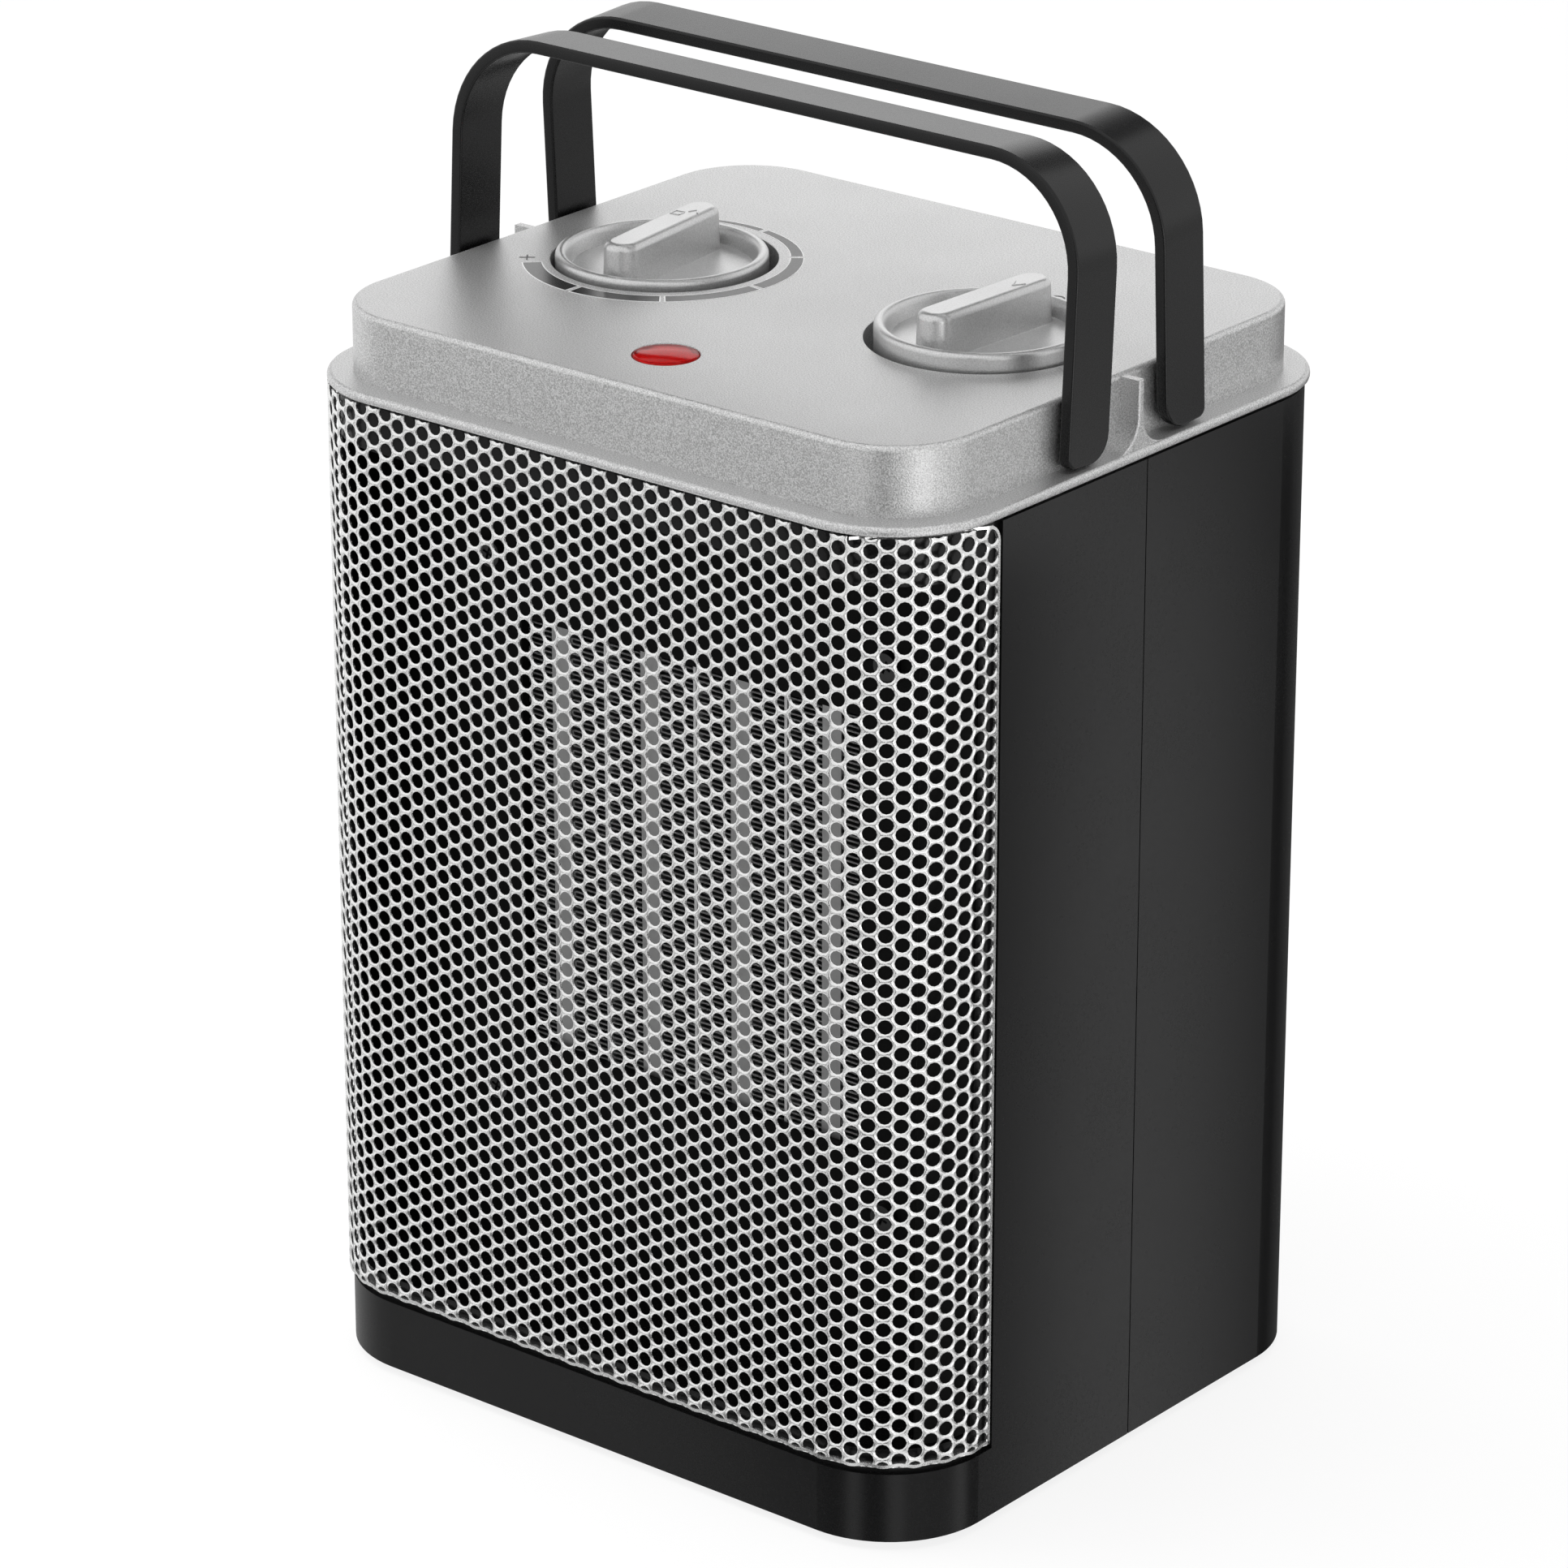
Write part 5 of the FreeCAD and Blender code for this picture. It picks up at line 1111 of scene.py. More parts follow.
# ---------------------------------------------------------------- element
@dataclass
class Element:
    """Thin folded strips of fins and the plates between them."""

    bars: tuple[float, ...] = (-36.9, -12.3, 12.3, 36.9)
    bar: float = 5.0
    plate: float = 0.8
    plate_lap: float = 0.4
    plate_edge: float = 0.15
    inner: float = 9.4
    outer: float = 7.0
    front: float = -40.6
    back: float = -27.4
    middle: float = 123.0
    height: float = 99.0
    reach: float = 2.5
    fold: float = 1.16
    fold_radius: float = 0.4
    side_gap: float = 0.1
    end_gap: float = 0.3
    slack: float = 1.0
    foil: float = 0.16
    lip: float = 0.3
    lip_swell: float = 0.09

    def strip(self, width: float, depth: float, foil: float) -> Piece:
        """Fold one strip of foil, from its left edge at nought.

        Args:
            width: how wide the strip is.
            depth: how far it reaches back from the front.
            foil: how thick it is.

        Returns:
            The strip, standing between the bars' ends.
        """
        low, run = self.middle - self.height / 2 + self.end_gap, self.fold
        left, right = self.side_gap, width - self.side_gap
        made = Piece.line("heater_fin_strip", [
            (left, self.front, low), (right, self.front, low), (right, self.front, low + run),
            (left, self.front, low + run), (left, self.front, low + 2 * run)])
        made.repeat(int((self.height - self.slack) / (2 * run)), (0.0, 0.0, 2 * run))
        with made.whole(Kind.EDGE):
            extrude((0.0, depth, 0.0))
        made.bevel(lambda at, way: abs(way.y) > STEEP and (near(at.x, left) or near(at.x, right)),
                   self.fold_radius, 2)
        made.thicken(foil)
        return made

    def strips(self, name: str, depth: float, foil: float) -> Piece:
        """Lay a strip of foil on both sides of every bar.

        Args:
            name: name of the piece that holds them all.
            depth: how far the strips reach back from the front.
            foil: how thick they are.

        Returns:
            All the strips in one piece.
        """
        patterns = {width: self.strip(width, depth, foil) for width in (self.inner, self.outer)}
        strips = []
        for bar in self.bars:
            for side in SIDES:
                width = self.outer if abs(bar + side * self.bar) > self.bars[-1] else self.inner
                strip = patterns[width].copy("strip")
                strip.move((bar + self.bar / 2 if side > 0 else bar - self.bar / 2 - width, 0.0, 0.0))
                strips.append(strip)
        for pattern in patterns.values():
            pattern.discard()
        return Piece.gather(name, strips)

    def plates(self) -> Piece:
        """Stand a plate halfway between each two bars.

        Returns:
            All the plates in one piece.
        """
        plates, half = [], self.height / 2 + self.reach
        for left, right in zip(self.bars, self.bars[1:]):
            x = (left + right) / 2
            plate = Piece.block(
                "divider_plate", (x - self.plate / 2, self.front - self.plate_lap, self.middle - half),
                (x + self.plate / 2, self.back + self.plate_lap, self.middle + half))
            plate.soften(self.plate_edge, 2, 40.0)
            plates.append(plate)
        return Piece.gather("divider_plates_thin", plates)

    def build(self) -> None:
        """Lay the strips between bars and plates in painted shade, give their front edges a painted
        highlight, and stand the plates, also with the painted highlight.
        """
        folds = self.strips("heater_fin_strips", self.back - self.front, self.foil)
        folds.dress(Slot.ALUMINIUM, Body.HEATER, "heater_fins", finish=FIN_METAL_PAINTED_SHADE)
        edges = self.strips("heater_fin_edges", self.lip, self.foil + self.lip_swell)
        edges.dress(Slot.ALUMINIUM, Body.HEATER, finish=FIN_EDGE_PAINTED_HIGHLIGHT)
        self.plates().dress(Slot.ALUMINIUM, Body.HEATER, "divider_plates", finish=FIN_EDGE_PAINTED_HIGHLIGHT)


# ---------------------------------------------------------------- cover
@dataclass
class Cover:
    """Silver cover: flange, raised deck, two wells and the webs between the straps."""

    half: tuple[float, float] = (85.0, 75.0)
    corner: float = 25.0
    low: float = 224.5
    ledge: float = 226.5
    deck_inset: float = 5.6
    deck_edge: float = 1.2
    flange_edge: float = 1.1
    rim_margin: float = 1.5
    low_edge: float = 0.5
    rim_edge: float = 0.3
    wall: float = 2.2
    well: float = 24.3
    well_places: tuple[tuple[float, float], ...] = ((-42.6, 0.5), (42.6, 0.5))
    well_depth: float = 8.0
    well_sides: int = 96
    cup_lap: float = 0.6
    bore: float = 4.6
    hole_sides: int = 32
    lens: float = 7.05
    seat_depth: float = 6.0
    pivot: float = 3.2
    pivot_x: float = 83.0
    pivot_depth: float = 16.0
    web: float = 1.8
    web_flare: float = 6.5
    web_drop: float = 0.5
    web_margin: float = 0.9
    web_lap: float = 1.0
    web_edge: float = 0.45
    through: float = 10.0

    def shell(self) -> Piece:
        """Raise the deck out of the flange and round their edges.

        Returns:
            The cover's outer shape, solid.
        """
        x, y = self.half
        made = Piece.block("top_cover_shell", (-x, -y, self.low), (x, y, self.ledge))
        made.bevel(upright, self.corner, 20)
        made.inset(upward, self.deck_inset, DECK - self.ledge)
        made.bevel(level_at(DECK), self.deck_edge, 6)
        on_ledge = level_at(self.ledge)
        made.bevel(lambda at, way: on_ledge(at, way) and self.on_rim(at), self.flange_edge, 5)
        made.bevel(level_at(self.low), self.low_edge, 3)
        return made

    def on_rim(self, at: Vector) -> bool:
        """Tell the flange's outer edge from the foot of the deck's wall.

        Args:
            at: a point of either.

        Returns:
            Whether it is on the outer edge.
        """
        across, along = (abs(part) - (half - self.corner) for part, half in zip(at, self.half))
        reach = math.hypot(across, along) if min(across, along) > 0 else max(across, along)
        return reach > self.corner - self.rim_margin

    def hollow(self) -> Piece:
        """Model the room inside the cover.

        Returns:
            The room, as a solid to cut with.
        """
        inset = self.deck_inset + self.wall
        x, y = (half - inset for half in self.half)
        made = Piece.block("hollow", (-x, -y, self.low - self.wall), (x, y, DECK - self.wall))
        made.bevel(upright, self.corner - inset, 16)
        return made

    def web_piece(self) -> Piece:
        """Model the right web with its flared foot.

        Returns:
            The web, a little way into the deck's wall and the ledge.
        """
        lap, start, end = self.web_lap, self.half[0] - self.deck_inset, self.half[0] - self.web_margin
        face, reach = self.web / 2, self.web / 2 + self.web_flare
        made = Piece.block("web", (start - lap, -reach, self.ledge - lap / 2),
                           (end, reach, DECK - self.web_drop))
        for way in SIDES:
            low, high = sorted((way * face, way * (reach + 2 * lap)))
            tool = Piece.block("flare", (start - 2 * lap, low, self.ledge), (end + lap, high, DECK + lap))
            tool.bevel(lambda at, along: abs(along.x) > STEEP and near(abs(at.y), face)
                       and near(at.z, self.ledge), self.web_flare, 10)
            made.cut(tool)
        made.bevel(lambda at, way: at.x > end - 0.1 and abs(way.x) < 0.5 and at.z > self.ledge + 0.05
                   and (at.z > self.ledge + 1.5 or abs(way.z) > 0.05), self.web_edge, 3)
        return made

    def build(self) -> None:
        """Make the cover in one solid, with its wells, seat and holes."""
        made = self.shell()
        made.cut(self.hollow())
        floor = DECK - self.well_depth
        made.fuse(*[Piece.rod("cup", self.well + self.wall, (x, y, floor - self.wall),
                              self.well_depth + self.cup_lap, sides=self.well_sides)
                    for x, y in self.well_places])
        web = self.web_piece()
        made.fuse(web, web.twin("web"))
        made.cut(*[Piece.rod("well", self.well, (x, y, floor), self.well_depth + self.through,
                             sides=self.well_sides) for x, y in self.well_places])
        made.cut(*[Piece.rod("bore", self.bore, (x, y, floor - self.through), 2 * self.through,
                             sides=self.hole_sides) for x, y in SPINDLES])
        made.cut(Piece.rod("seat", self.lens, (0.0, LENS_Y, DECK - self.seat_depth),
                           self.seat_depth + self.through))
        made.cut(*[Piece.rod("pivot", self.pivot,
                             (side * self.pivot_x - self.pivot_depth / 2, way * PIVOT_Y, PIVOT_Z),
                             self.pivot_depth, Axis.X, self.hole_sides)
                   for side in SIDES for way in SIDES])
        rims = [(x, y, self.well) for x, y in self.well_places] + [(0.0, LENS_Y, self.lens)]
        made.bevel(lambda at, way: near(at.z, DECK) and any(
            near(math.hypot(at.x - x, at.y - y), radius, 0.1) for x, y, radius in rims), self.rim_edge, 2)
        made.dress(Slot.SILVER, Body.HEATER, "top_cover")


# ---------------------------------------------------------------- dial scale
@dataclass
class DialScale:
    """Printed band round the thermostat that narrows towards cold, with its marks."""

    centre: tuple[float, float] = (-42.3, -0.4)
    radius: float = 29.8
    width: float = 3.9
    start: float = -135.0
    end: float = 125.0
    breaks: tuple[float, ...] = (-92.0, -50.0, -6.0, 41.0, 82.0)
    gap: float = 1.35
    outline: float = 0.26
    narrowest: float = 0.15
    narrowing: float = 2.2
    step: float = 2.5
    wrap: float = 10.0
    strip: float = 1.0
    film: float = 0.05
    band_lift: float = 0.03
    plus: tuple[float, float] = (-65.2, -18.0)
    plus_size: tuple[float, float] = (3.4, 0.36)
    plus_turn: float = 39.0
    ring: tuple[float, float] = (39.2, 30.6)
    ring_radii: tuple[float, float] = (1.35, 1.75)
    mark_lift: float = 0.06
    mark_sink: float = 0.02
    plus_depth: float = 0.1
    plus_round: float = 0.45

    def width_at(self, degrees: float) -> float:
        """Return the band's width at an angle."""
        share = max(0.0, (degrees - self.start) / (self.end - self.start))
        return self.width * (1.0 - (1.0 - self.narrowest) * share ** self.narrowing)

    def dash(self, first: float, last: float, spread: float, lift: float) -> Piece:
        """Model one dash of the band.

        Args:
            first: angle where it starts, in degrees.
            last: angle where it ends.
            spread: how far it reaches past its outline.
            lift: height of its film above the deck.

        Returns:
            The dash, a flat sheet.
        """
        radius, more = self.radius + spread, math.degrees(spread / self.radius)
        first, last = first - more, last + more
        out = Vector((math.cos(math.radians(first)), math.sin(math.radians(first)), 0.0))
        base = Vector((*self.centre, DECK + lift))
        made = Piece.line("dash", [base + out * (radius - self.strip), base + out * radius])
        with made.whole():
            bpy.ops.mesh.spin(steps=max(6, int((last - first) / self.step)), center=base * MM,
                              angle=-math.radians(last - first), axis=(0.0, 0.0, 1.0))

        def tapered(at: Vector) -> Vector:
            """Draw an inner point to the band's width there.

            Args:
                at: the point, outer or inner.

            Returns:
                Its new place.
            """
            away = at - base
            if away.length > radius - self.strip / 2:
                return at
            turn = math.degrees(math.atan2(away.y, away.x))
            turn = turn + 360.0 if turn < self.start - self.wrap else turn
            return base + away.normalized() * (self.radius - self.width_at(turn) - spread)

        made.reshape(tapered)
        return made

    def band(self) -> None:
        """Print the dashes and their light outline."""
        edges = (self.start, *self.breaks, self.end)
        half = math.degrees(self.gap / 2 / self.radius)
        bands, outlines = [], []
        for first, last in zip(edges, edges[1:]):
            first += half if first != self.start else 0.0
            last -= half if last != self.end else 0.0
            bands.append(self.dash(first, last, 0.0, self.band_lift))
            outlines.append(self.dash(first, last, self.outline, 0.0))
        for name, dashes, ink in (("dial_scale_outline", outlines, DIAL_EDGE),
                                  ("dial_scale_band", bands, DIAL_INK)):
            made = Piece.gather(name, dashes)
            made.close()
            made.thicken(self.film)
            made.dress(Slot.SILVER, Body.HEATER, finish=ink)

    def plus_sign(self) -> None:
        """Print the plus at the warm end."""
        x, y = self.plus
        (length, width), top = self.plus_size, DECK + self.mark_lift
        bars = []
        for degrees in (self.plus_turn, self.plus_turn - 90.0):
            bar = Piece.block("bar", (x - length / 2, y - width / 2, top - self.plus_depth),
                              (x + length / 2, y + width / 2, top))
            bar.bevel(upright, width * self.plus_round, 3)
            bar.swing(degrees, "Z", (x, y, top))
            bars.append(bar)
        Piece.gather("dial_scale_plus", bars).dress(Slot.SILVER, Body.HEATER, finish=MARK_INK)

    def ring_mark(self) -> None:
        """Print the round mark behind the mode knob."""
        inner, outer = self.ring_radii
        low, high = -self.mark_sink, self.mark_lift
        profile = [(inner, low), (outer, low), (outer, high), (inner, high), (inner, low)]
        ring = Piece.turned("mode_mark_ring", profile, (*self.ring, DECK), 40)
        ring.dress(Slot.SILVER, Body.HEATER, finish=MARK_INK)

    def build(self) -> None:
        """Print the band and the two marks."""
        self.band()
        self.plus_sign()
        self.ring_mark()


# ---------------------------------------------------------------- pilot light
@dataclass
class PilotLight:
    """Red lens set in the deck, with cut facets under a clear top."""

    radius: float = 6.85
    thickness: float = 2.3
    under: float = 1.2
    dome: float = 0.62
    facets: int = 5
    facet_turn: float = 28.0
    ridge_width: float = 0.12
    ridge_lean: float = 0.3
    ridge_foot: float = 0.1
    ridge_height: float = 1.0
    plate: float = 0.35
    gap: float = 0.35
    margin: float = 1.15
    shading: float = 10.0

    def facet_plate(self) -> None:
        """Model the ridged plate under the lens."""
        low, reach = DECK - self.thickness, self.radius + self.margin
        foot, deep = low + self.ridge_foot, 2 * self.thickness
        plate = Piece.block("indicator_lens_facets", (-reach, LENS_Y - reach, low),
                            (reach, LENS_Y + reach, low + self.plate))
        pitch = 2 * self.radius / self.facets
        for index in range(self.facets):
            at = LENS_Y - self.radius + pitch * (index + 0.5)
            ridge = Piece.block("ridge", (-reach, at - pitch / 2, foot),
                                (reach, at + pitch / 2, foot + self.ridge_height))
            ridge.stretch(upward, (1.0, self.ridge_width, 1.0), (0.0, at + self.ridge_lean, 0.0))
            plate.add(ridge)
        plate.swing(self.facet_turn, "Z", (0.0, LENS_Y, DECK))
        keep = Piece.rod("round", self.radius - self.gap, (0.0, LENS_Y, DECK - deep), 2 * deep)
        plate.combine("INTERSECT", keep, overlap=True)
        plate.dress(Slot.LENS, Body.HEATER, finish=RED_FACETS, angle=self.shading)

    def lens(self) -> None:
        """Turn the clear top of the lens."""
        top, low, radius = self.thickness + 0.02, self.under, self.radius
        shares = (0.97, *(step / 10 for step in range(9, -1, -1)))
        profile = [(0.0, low), (radius - 0.3, low), (radius, low + 0.2), (radius, top - 0.25),
                   (radius - 0.05, top - 0.1),
                   *((radius * share, top + self.dome * (1.0 - share ** 2)) for share in shares)]
        made = Piece.turned("indicator_lens_top", profile, (0.0, LENS_Y, DECK - self.thickness), 72)
        made.dress(Slot.LENS, Body.HEATER, "indicator_lens")

    def build(self) -> None:
        """Make both parts of the lens."""
        self.facet_plate()
        self.lens()


# ---------------------------------------------------------------- knobs
@dataclass
class Knob:
    """Dished knob with a grip across it."""

    name: str
    node: str
    body: Body
    centre: tuple[float, float]
    lift: float
    turned: float
    marks: tuple[tuple[float, float, float, float], ...]
    low: float = 234.3
    radius: float = 22.8
    rim: float = 2.4
    wall_height: float = 7.0
    skirt: float = 1.5
    dish_depth: float = 3.6
    floor: float = 2.0
    socket: float = 6.5
    grip: tuple[float, float, float] = (8.6, 38.0, 9.4)
    grip_end: float = 4.0
    grip_edge: float = 1.6
    grip_draft: tuple[float, float] = (0.93, 0.985)
    grip_foot: float = 0.3
    mark_width: float = 0.4
    mark_height: float = 0.16
    mark_edge: float = 0.12
    mark_depth: float = 0.1

    def top(self) -> float:
        """Return the height of the rim."""
        return DECK + self.lift

    def dish(self) -> float:
        """Return the height of the dish's floor."""
        return self.top() - self.dish_depth

    def dish_piece(self) -> Piece:
        """Turn the dish, its rounded rim and its skirt.

        Returns:
            The dish, standing on the frame's middle line.
        """
        top, dish, outer = self.top(), self.dish(), self.radius
        low, under = max(top - self.wall_height, self.low), dish - self.floor
        inner, skirt = outer - self.rim, outer - self.skirt
        profile = [
            (0.0, dish), (inner - 1.2, dish), (inner - 1.05, dish + 0.08), (inner - 0.25, top - 1.3),
            (inner + 0.05, top - 0.7), (inner + 0.35, top - 0.3), (inner + 0.75, top - 0.06),
            (inner + 1.2, top), (outer - 0.7, top - 0.1), (outer - 0.3, top - 0.35),
            (outer - 0.07, top - 0.75), (outer, top - 1.3), (outer, low), (skirt, low), (skirt, under),
            (self.socket, under), (self.socket, self.low), (0.0, self.low)]
        return Piece.turned(self.name, profile, (0.0, 0.0, 0.0), 128)

    def grip_piece(self) -> Piece:
        """Model the grip with its rounded ends and top edges.

        Returns:
            The grip, a little way into the dish.
        """
        width, length, height = self.grip
        low, high = self.dish() - self.floor / 2, self.dish() + height
        made = Piece.block("grip", (-width / 2, -length / 2, low), (width / 2, length / 2, high))
        made.bevel(upright, self.grip_end, 8)
        made.stretch(upward, (*self.grip_draft, 1.0), (0.0, 0.0, high))
        made.bevel(level_at(high), self.grip_edge, 4)
        return made

    def round_foot(self, made: Piece) -> None:
        """Round the corner between the grip and the dish.

        Args:
            made: the knob in one solid.
        """
        x, y = self.grip[0] / 2, self.grip[1] / 2
        dish = self.dish()
        made.bevel(lambda at, way: near(at.z, dish) and abs(way.z) < 0.05 and abs(at.x) < x + 0.1
                   and abs(at.y) < y + 0.1 and max(abs(at.x) / x, abs(at.y) / y) > 0.72, self.grip_foot, 2)

    def mark(self, x: float, y: float, length: float, degrees: float) -> Piece:
        """Model one raised line on the grip's top.

        Args:
            x: middle of the line.
            y: middle of the line.
            length: its length.
            degrees: its turn.

        Returns:
            The line.
        """
        half, top = self.mark_width / 2, self.dish() + self.grip[2]
        bar = Piece.block("mark", (x - length / 2, y - half, top - self.mark_depth),
                          (x + length / 2, y + half, top + self.mark_height))
        bar.bevel(lambda at, way: upright(at, way) or (at.z > top and abs(way.x) > STEEP), self.mark_edge, 2)
        bar.swing(degrees, "Z", (x, y, top))
        return bar

    def build(self) -> None:
        """Join dish and grip, raise the marks, and stand the knob in its well."""
        made = self.dish_piece()
        made.fuse(self.grip_piece())
        self.round_foot(made)
        for mark in self.marks:
            made.add(self.mark(*mark))
        made.swing(self.turned, "Z", (0.0, 0.0, 0.0))
        made.move((*self.centre, 0.0))
        made.dress(Slot.SILVER, self.body, self.node, finish=KNOB_SILVER_PAINTED_LIGHT)


# ---------------------------------------------------------------- straps
@dataclass
class Strap:
    """Folding carry strap with two bends and a pivot in each leg."""

    name: str
    side: int
    body: Body
    toe: float
    heel: float
    width: float = 13.4
    thickness: float = 2.8
    inside: float = 80.5
    top: float = 290.2
    crown_drop: float = 0.35
    lean: float = 3.0
    bend: float = 20.4
    edge: float = 0.55
    pivot: float = 3.0
    pivot_end: float = 74.6
    pivot_depth: float = 1.0
    bend_steps: int = 14
    pivot_sides: int = 32

    def build(self) -> None:
        """Draw the strap up one leg, over and down the other."""
        outside, half = self.inside + self.thickness, self.width / 2
        crown = PIVOT_Z + (self.top - PIVOT_Z) / math.cos(math.radians(self.lean)) - self.crown_drop
        shoulder, low = crown - self.bend - self.thickness, PIVOT_Z - half
        made = Piece.block(self.name, (self.inside, -half, low), (outside, half, shoulder))
        for way, radius, steps in ((self.side, self.toe, 6), (-self.side, self.heel, 10)):
            made.bevel(lambda at, along: near(at.z, low) and abs(along.x) > STEEP and near(at.y, way * half),
                       radius, steps)
        centre = Vector((self.inside - self.bend, 0.0, shoulder))
        with made.picked(Kind.FACE, lambda at, out: near(at.z, shoulder) and out.z > STEEP):
            bpy.ops.mesh.delete(type="ONLY_FACE")
        with made.picked(Kind.EDGE, lambda at, along: near(at.z, shoulder)):
            bpy.ops.mesh.spin(steps=self.bend_steps, angle=math.pi / 2, center=centre * MM,
                              axis=(0.0, 1.0, 0.0))
        with made.picked(Kind.EDGE, lambda at, along: near(at.x, centre.x) and at.z > shoulder):
            extrude((-centre.x, 0.0, 0.0))
        made.modify("MIRROR", use_axis=(True, False, False), use_mirror_merge=True, merge_threshold=2 * WELD)
        made.close()
        made.soften(self.edge, 3, 50.0)
        far = outside - self.pivot_depth
        for start in (-far, self.pivot_end):
            made.add(Piece.rod("pivot", self.pivot, (start, 0.0, PIVOT_Z), far - self.pivot_end, Axis.X,
                               self.pivot_sides))
        made.swing(self.side * self.lean, "X", (0.0, 0.0, PIVOT_Z))
        made.move((0.0, self.side * PIVOT_Y, 0.0))
        made.dress(Slot.HANDLE, self.body, self.body.value)


# ---------------------------------------------------------------- studio
@dataclass(frozen=True)
class Lamp:
    """Soft rectangular lamp that faces the heater, in metres and watts."""

    name: str
    place: tuple[float, float, float]
    size: tuple[float, float]
    power: float
    mirrored: bool = False
    target: tuple[float, float, float] = (0.0, 0.0, 0.12)

    def build(self) -> None:
        """Hang the lamp, which shiny surfaces show where it is mirrored."""
        data = bpy.data.lights.new(self.name, "AREA")
        data.shape = "RECTANGLE"
        data.size, data.size_y = self.size
        data.energy = self.power
        made = bpy.data.objects.new(self.name, data)
        bpy.context.scene.collection.objects.link(made)
        made.location = self.place
        aim = Vector(self.target) - Vector(self.place)
        made.rotation_euler = aim.to_track_quat("-Z", "Y").to_euler()
        made.visible_glossy = self.mirrored


@dataclass(frozen=True)
class Card:
    """Upright grey card that only shiny surfaces show. Its level is 1 where it is white."""

    name: str
    place: tuple[float, float, float]
    size: tuple[float, float]
    level: float

    def build(self) -> None:
        """Stand the card so that it faces the heater's middle line."""
        bpy.ops.mesh.primitive_plane_add(size=1.0, location=self.place)
        made = bpy.context.object
        made.name = self.name
        made.scale = (*self.size, 1.0)
        made.rotation_euler = Vector((*self.place[:2], 0.0)).to_track_quat("Z", "Y").to_euler()
        shader = Shader(self.name + "_finish")
        shader.show(shader.light("ShaderNodeEmission", self.level))
        made.data.materials.append(shader.material)
        for ray in ("camera", "diffuse", "transmission", "volume_scatter", "shadow"):
            setattr(made, "visible_" + ray, False)


LAMPS = (
    Lamp("overhead", (-0.2, -0.1, 1.4), (1.4, 1.4), 14.0),
    Lamp("left", (-1.2, -0.8, 0.7), (0.9, 1.2), 8.0),
    Lamp("back_left", (-0.9, 1.2, 0.9), (0.9, 0.7), 1.5, mirrored=True),
    Lamp("right_strip", (1.35, -0.52, -0.1), (0.3, 0.66), 2.0, mirrored=True),
)

CARDS = (
    Card("corner_flag", (0.93, -2.0, -0.67), (1.0, 2.6), 0.01),
    Card("side_front_flag", (0.19, 0.06, -0.22), (0.07, 0.76), 0.02),
    Card("side_rear_flag", (0.17, 0.23, -0.22), (0.08, 0.76), 0.02),
    Card("plinth_flag", (-0.02, -0.25, -0.075), (0.15, 0.13), 0.02),
    Card("back_flag", (-0.25, 1.3, -0.5), (1.5, 1.1), 0.1),
    Card("left_flag", (-0.95, 1.0, -0.62), (0.9, 0.7), 0.42),
    Card("front_flag", (-0.75, -1.05, -0.4), (1.2, 0.9), 0.45),
    Card("plinth_right_flag", (0.55, -0.12, -0.25), (0.5, 0.16), 0.2),
    Card("strap_flag", (0.39, 0.39, 0.14), (0.5, 0.18), 0.6),
    Card("plinth_left_flag", (-1.0, 0.0, -0.6), (1.2, 0.42), 0.45),
    Card("high_flag", (-1.2, 1.47, 2.3), (3.0, 2.1), 0.12),
)


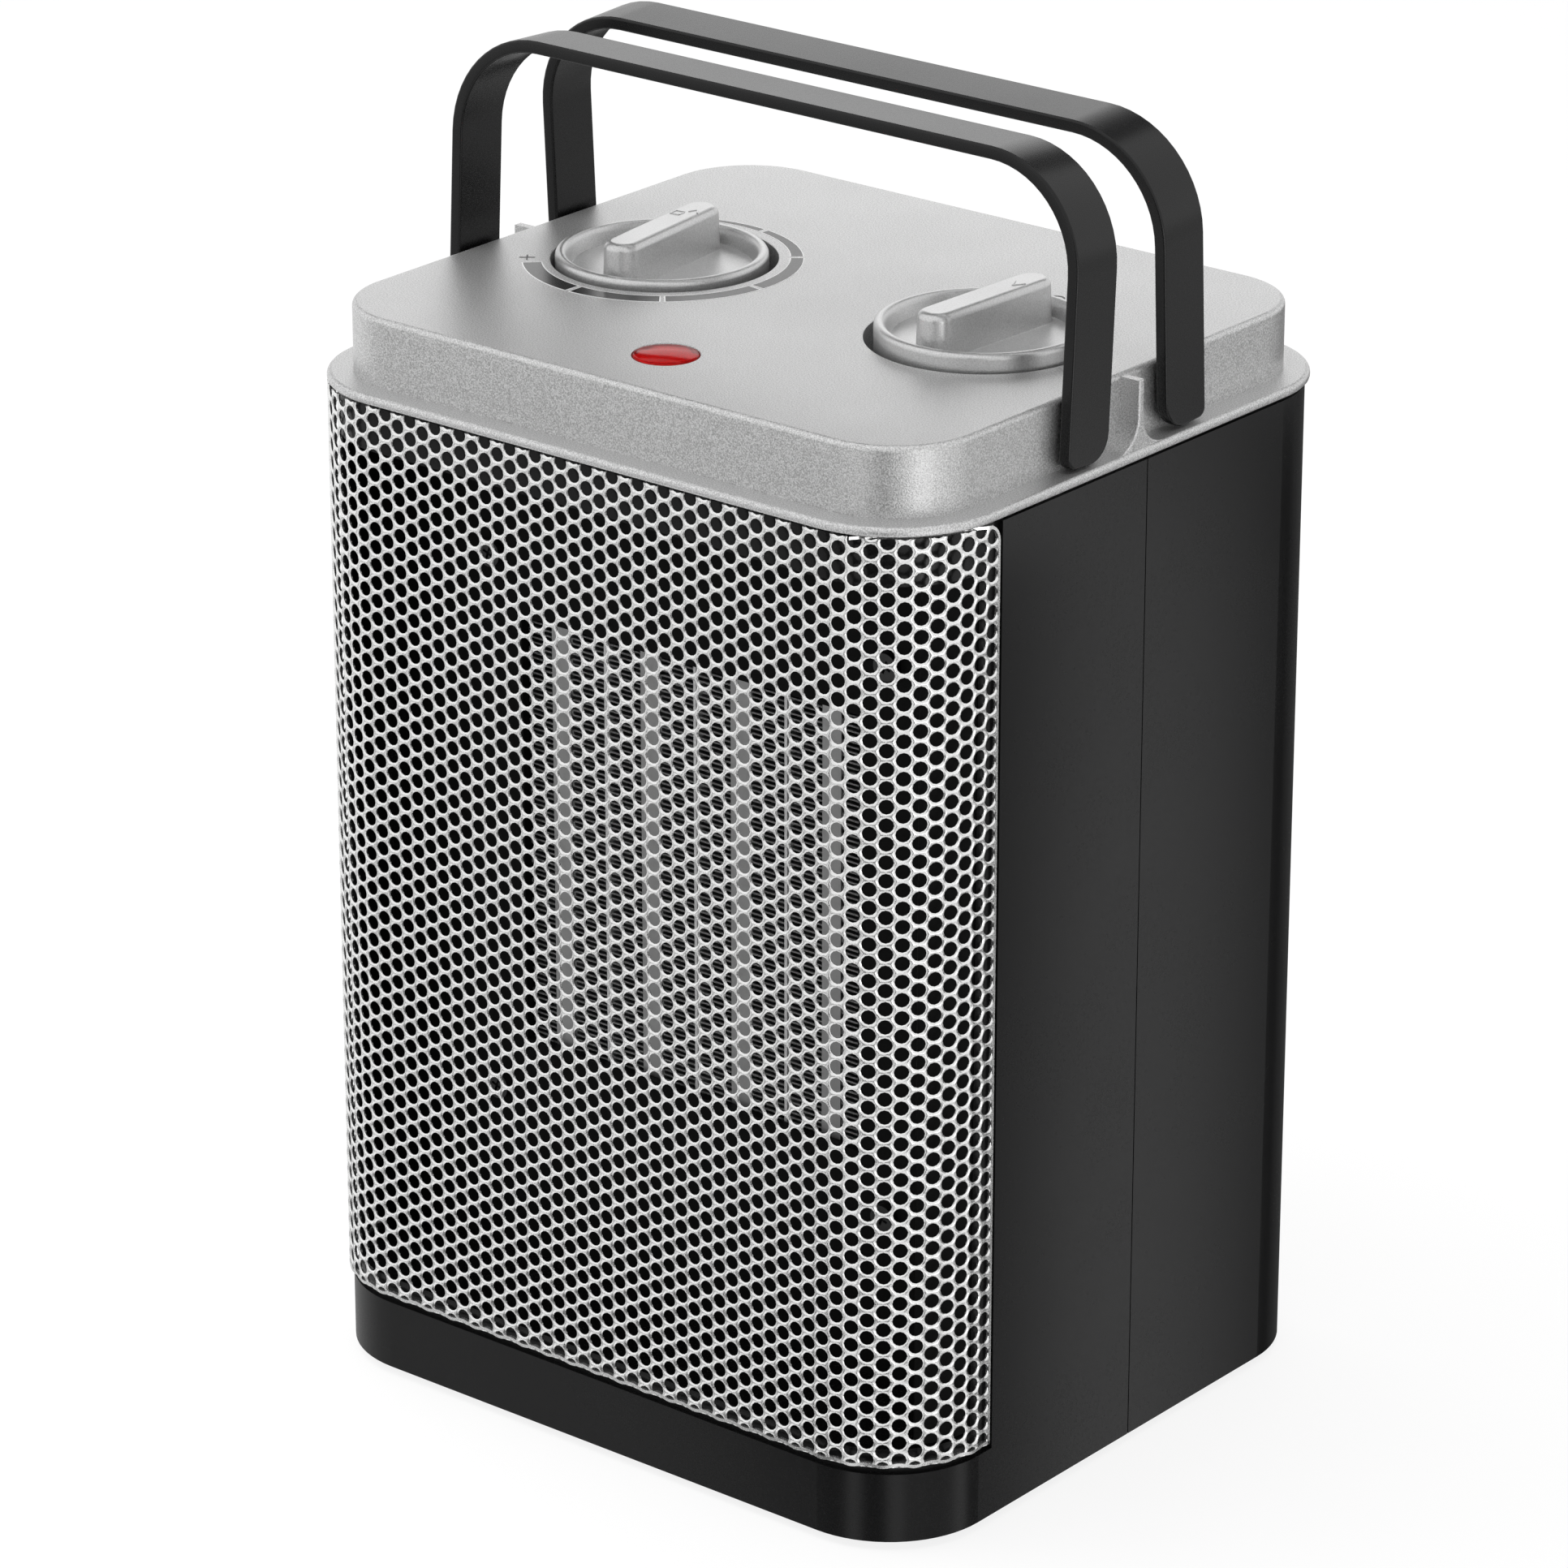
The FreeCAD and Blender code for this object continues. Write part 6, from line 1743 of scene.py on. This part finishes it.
@dataclass
class Studio:
    """Camera, lamps, cards, background and floor."""

    camera_place: tuple[float, float, float] = (0.8723, -1.0777, 0.6876)
    heading: float = 39.287
    tilt: float = 21.844
    lens: float = 159.65
    sensor: float = 36.0
    room_light: float = 0.45
    floor_size: float = 8.0
    floor_light: float = 1.06
    floor_glow: float = 0.8

    def camera(self) -> None:
        """Stand the camera in front of the right corner, looking down."""
        data = bpy.data.cameras.new("camera")
        data.lens, data.sensor_width = self.lens, self.sensor
        data.clip_start, data.clip_end = 0.01, 20.0
        made = bpy.data.objects.new("camera", data)
        bpy.context.scene.collection.objects.link(made)
        made.location = self.camera_place
        made.rotation_euler = (math.radians(90 - self.tilt), 0.0, math.radians(self.heading))
        bpy.context.scene.camera = made

    def world(self) -> None:
        """Put white behind everything, with less light on the heater itself."""
        world = bpy.data.worlds.new("world")
        bpy.context.scene.world = world
        world.use_nodes = True
        nodes = Nodes(world.node_tree, "ShaderNodeOutputWorld")
        seen = nodes.ray("Camera") | nodes.ray("Glossy") | nodes.ray("Transmission")
        lit = nodes.light("ShaderNodeBackground", 1.0, self.room_light)
        white = nodes.light("ShaderNodeBackground", 1.0)
        nodes.show(nodes.node("ShaderNodeMixShader", {0: seen, 1: lit, 2: white}))

    def floor(self) -> None:
        """Lay a pale floor that keeps only the heater's shadow."""
        bpy.ops.mesh.primitive_plane_add(size=self.floor_size)
        made = bpy.context.object
        made.name = "floor"
        shader = Shader("floor_finish")
        shader.set(Base_Color=(0.9, 0.9, 0.9), Roughness=0.9, Specular_IOR_Level=0.0)
        glow = shader.light("ShaderNodeEmission", 1.0, self.floor_light)
        share = shader.ray("Camera") * self.floor_glow
        shader.show(shader.node("ShaderNodeMixShader", {0: share, 1: shader.surface, 2: glow}))
        made.data.materials.append(shader.material)
        made.visible_glossy = False

    def build(self) -> None:
        """Set the whole studio up."""
        self.camera()
        self.world()
        self.floor()
        for item in (*LAMPS, *CARDS):
            item.build()
        bpy.context.scene.view_settings.view_transform = "Standard"


# ---------------------------------------------------------------- the whole
def dress_frame() -> None:
    """Give every carried-over node its finish."""
    slots = {part["node"]: Slot(part["material_slot"]) for part in frame["record"]["subparts"]}
    for name, node in frame["nodes"].items():
        finish = SCREW if name.endswith("screws") else DRESS[slots[name]]
        node.data.materials.clear()
        node.data.materials.append(finish.material())
        LOG.info("dressed %s with %s", name, finish.name)


def main() -> None:
    """Build the heater and its studio."""
    logging.basicConfig(level=logging.INFO, format="%(name)s: %(message)s")
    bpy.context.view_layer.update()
    dress_frame()
    Studio().build()
    for part in (
            Cover(), DialScale(), PilotLight(),
            Knob("thermostat_knob_shell", "thermostat_knob", Body.THERMOSTAT, SPINDLES[0], 1.7, 7.0,
                 marks=((-1.1, 6.6, 2.2, 0.0), (-1.1, 9.0, 2.2, 0.0), (-2.2, 7.8, 2.4, 90.0),
                        (0.0, 7.8, 2.0, 90.0), (0.9, 10.6, 1.9, 60.0), (2.1, 10.7, 2.2, 120.0))),
            Knob("mode_knob_shell", "mode_knob", Body.MODE, SPINDLES[1], 3.7, -3.0,
                 marks=((0.2, 9.0, 2.9, 118.0), (1.6, 9.0, 2.9, 62.0))),
            Strap("front_strap", -1, Body.FRONT_HANDLE, toe=3.0, heel=5.8),
            Strap("rear_strap", 1, Body.REAR_HANDLE, toe=2.0, heel=6.65),
            Element(), Grille()):
        part.build()
        LOG.info("built the %s", type(part).__name__)


if __name__ == "__main__":
    main()
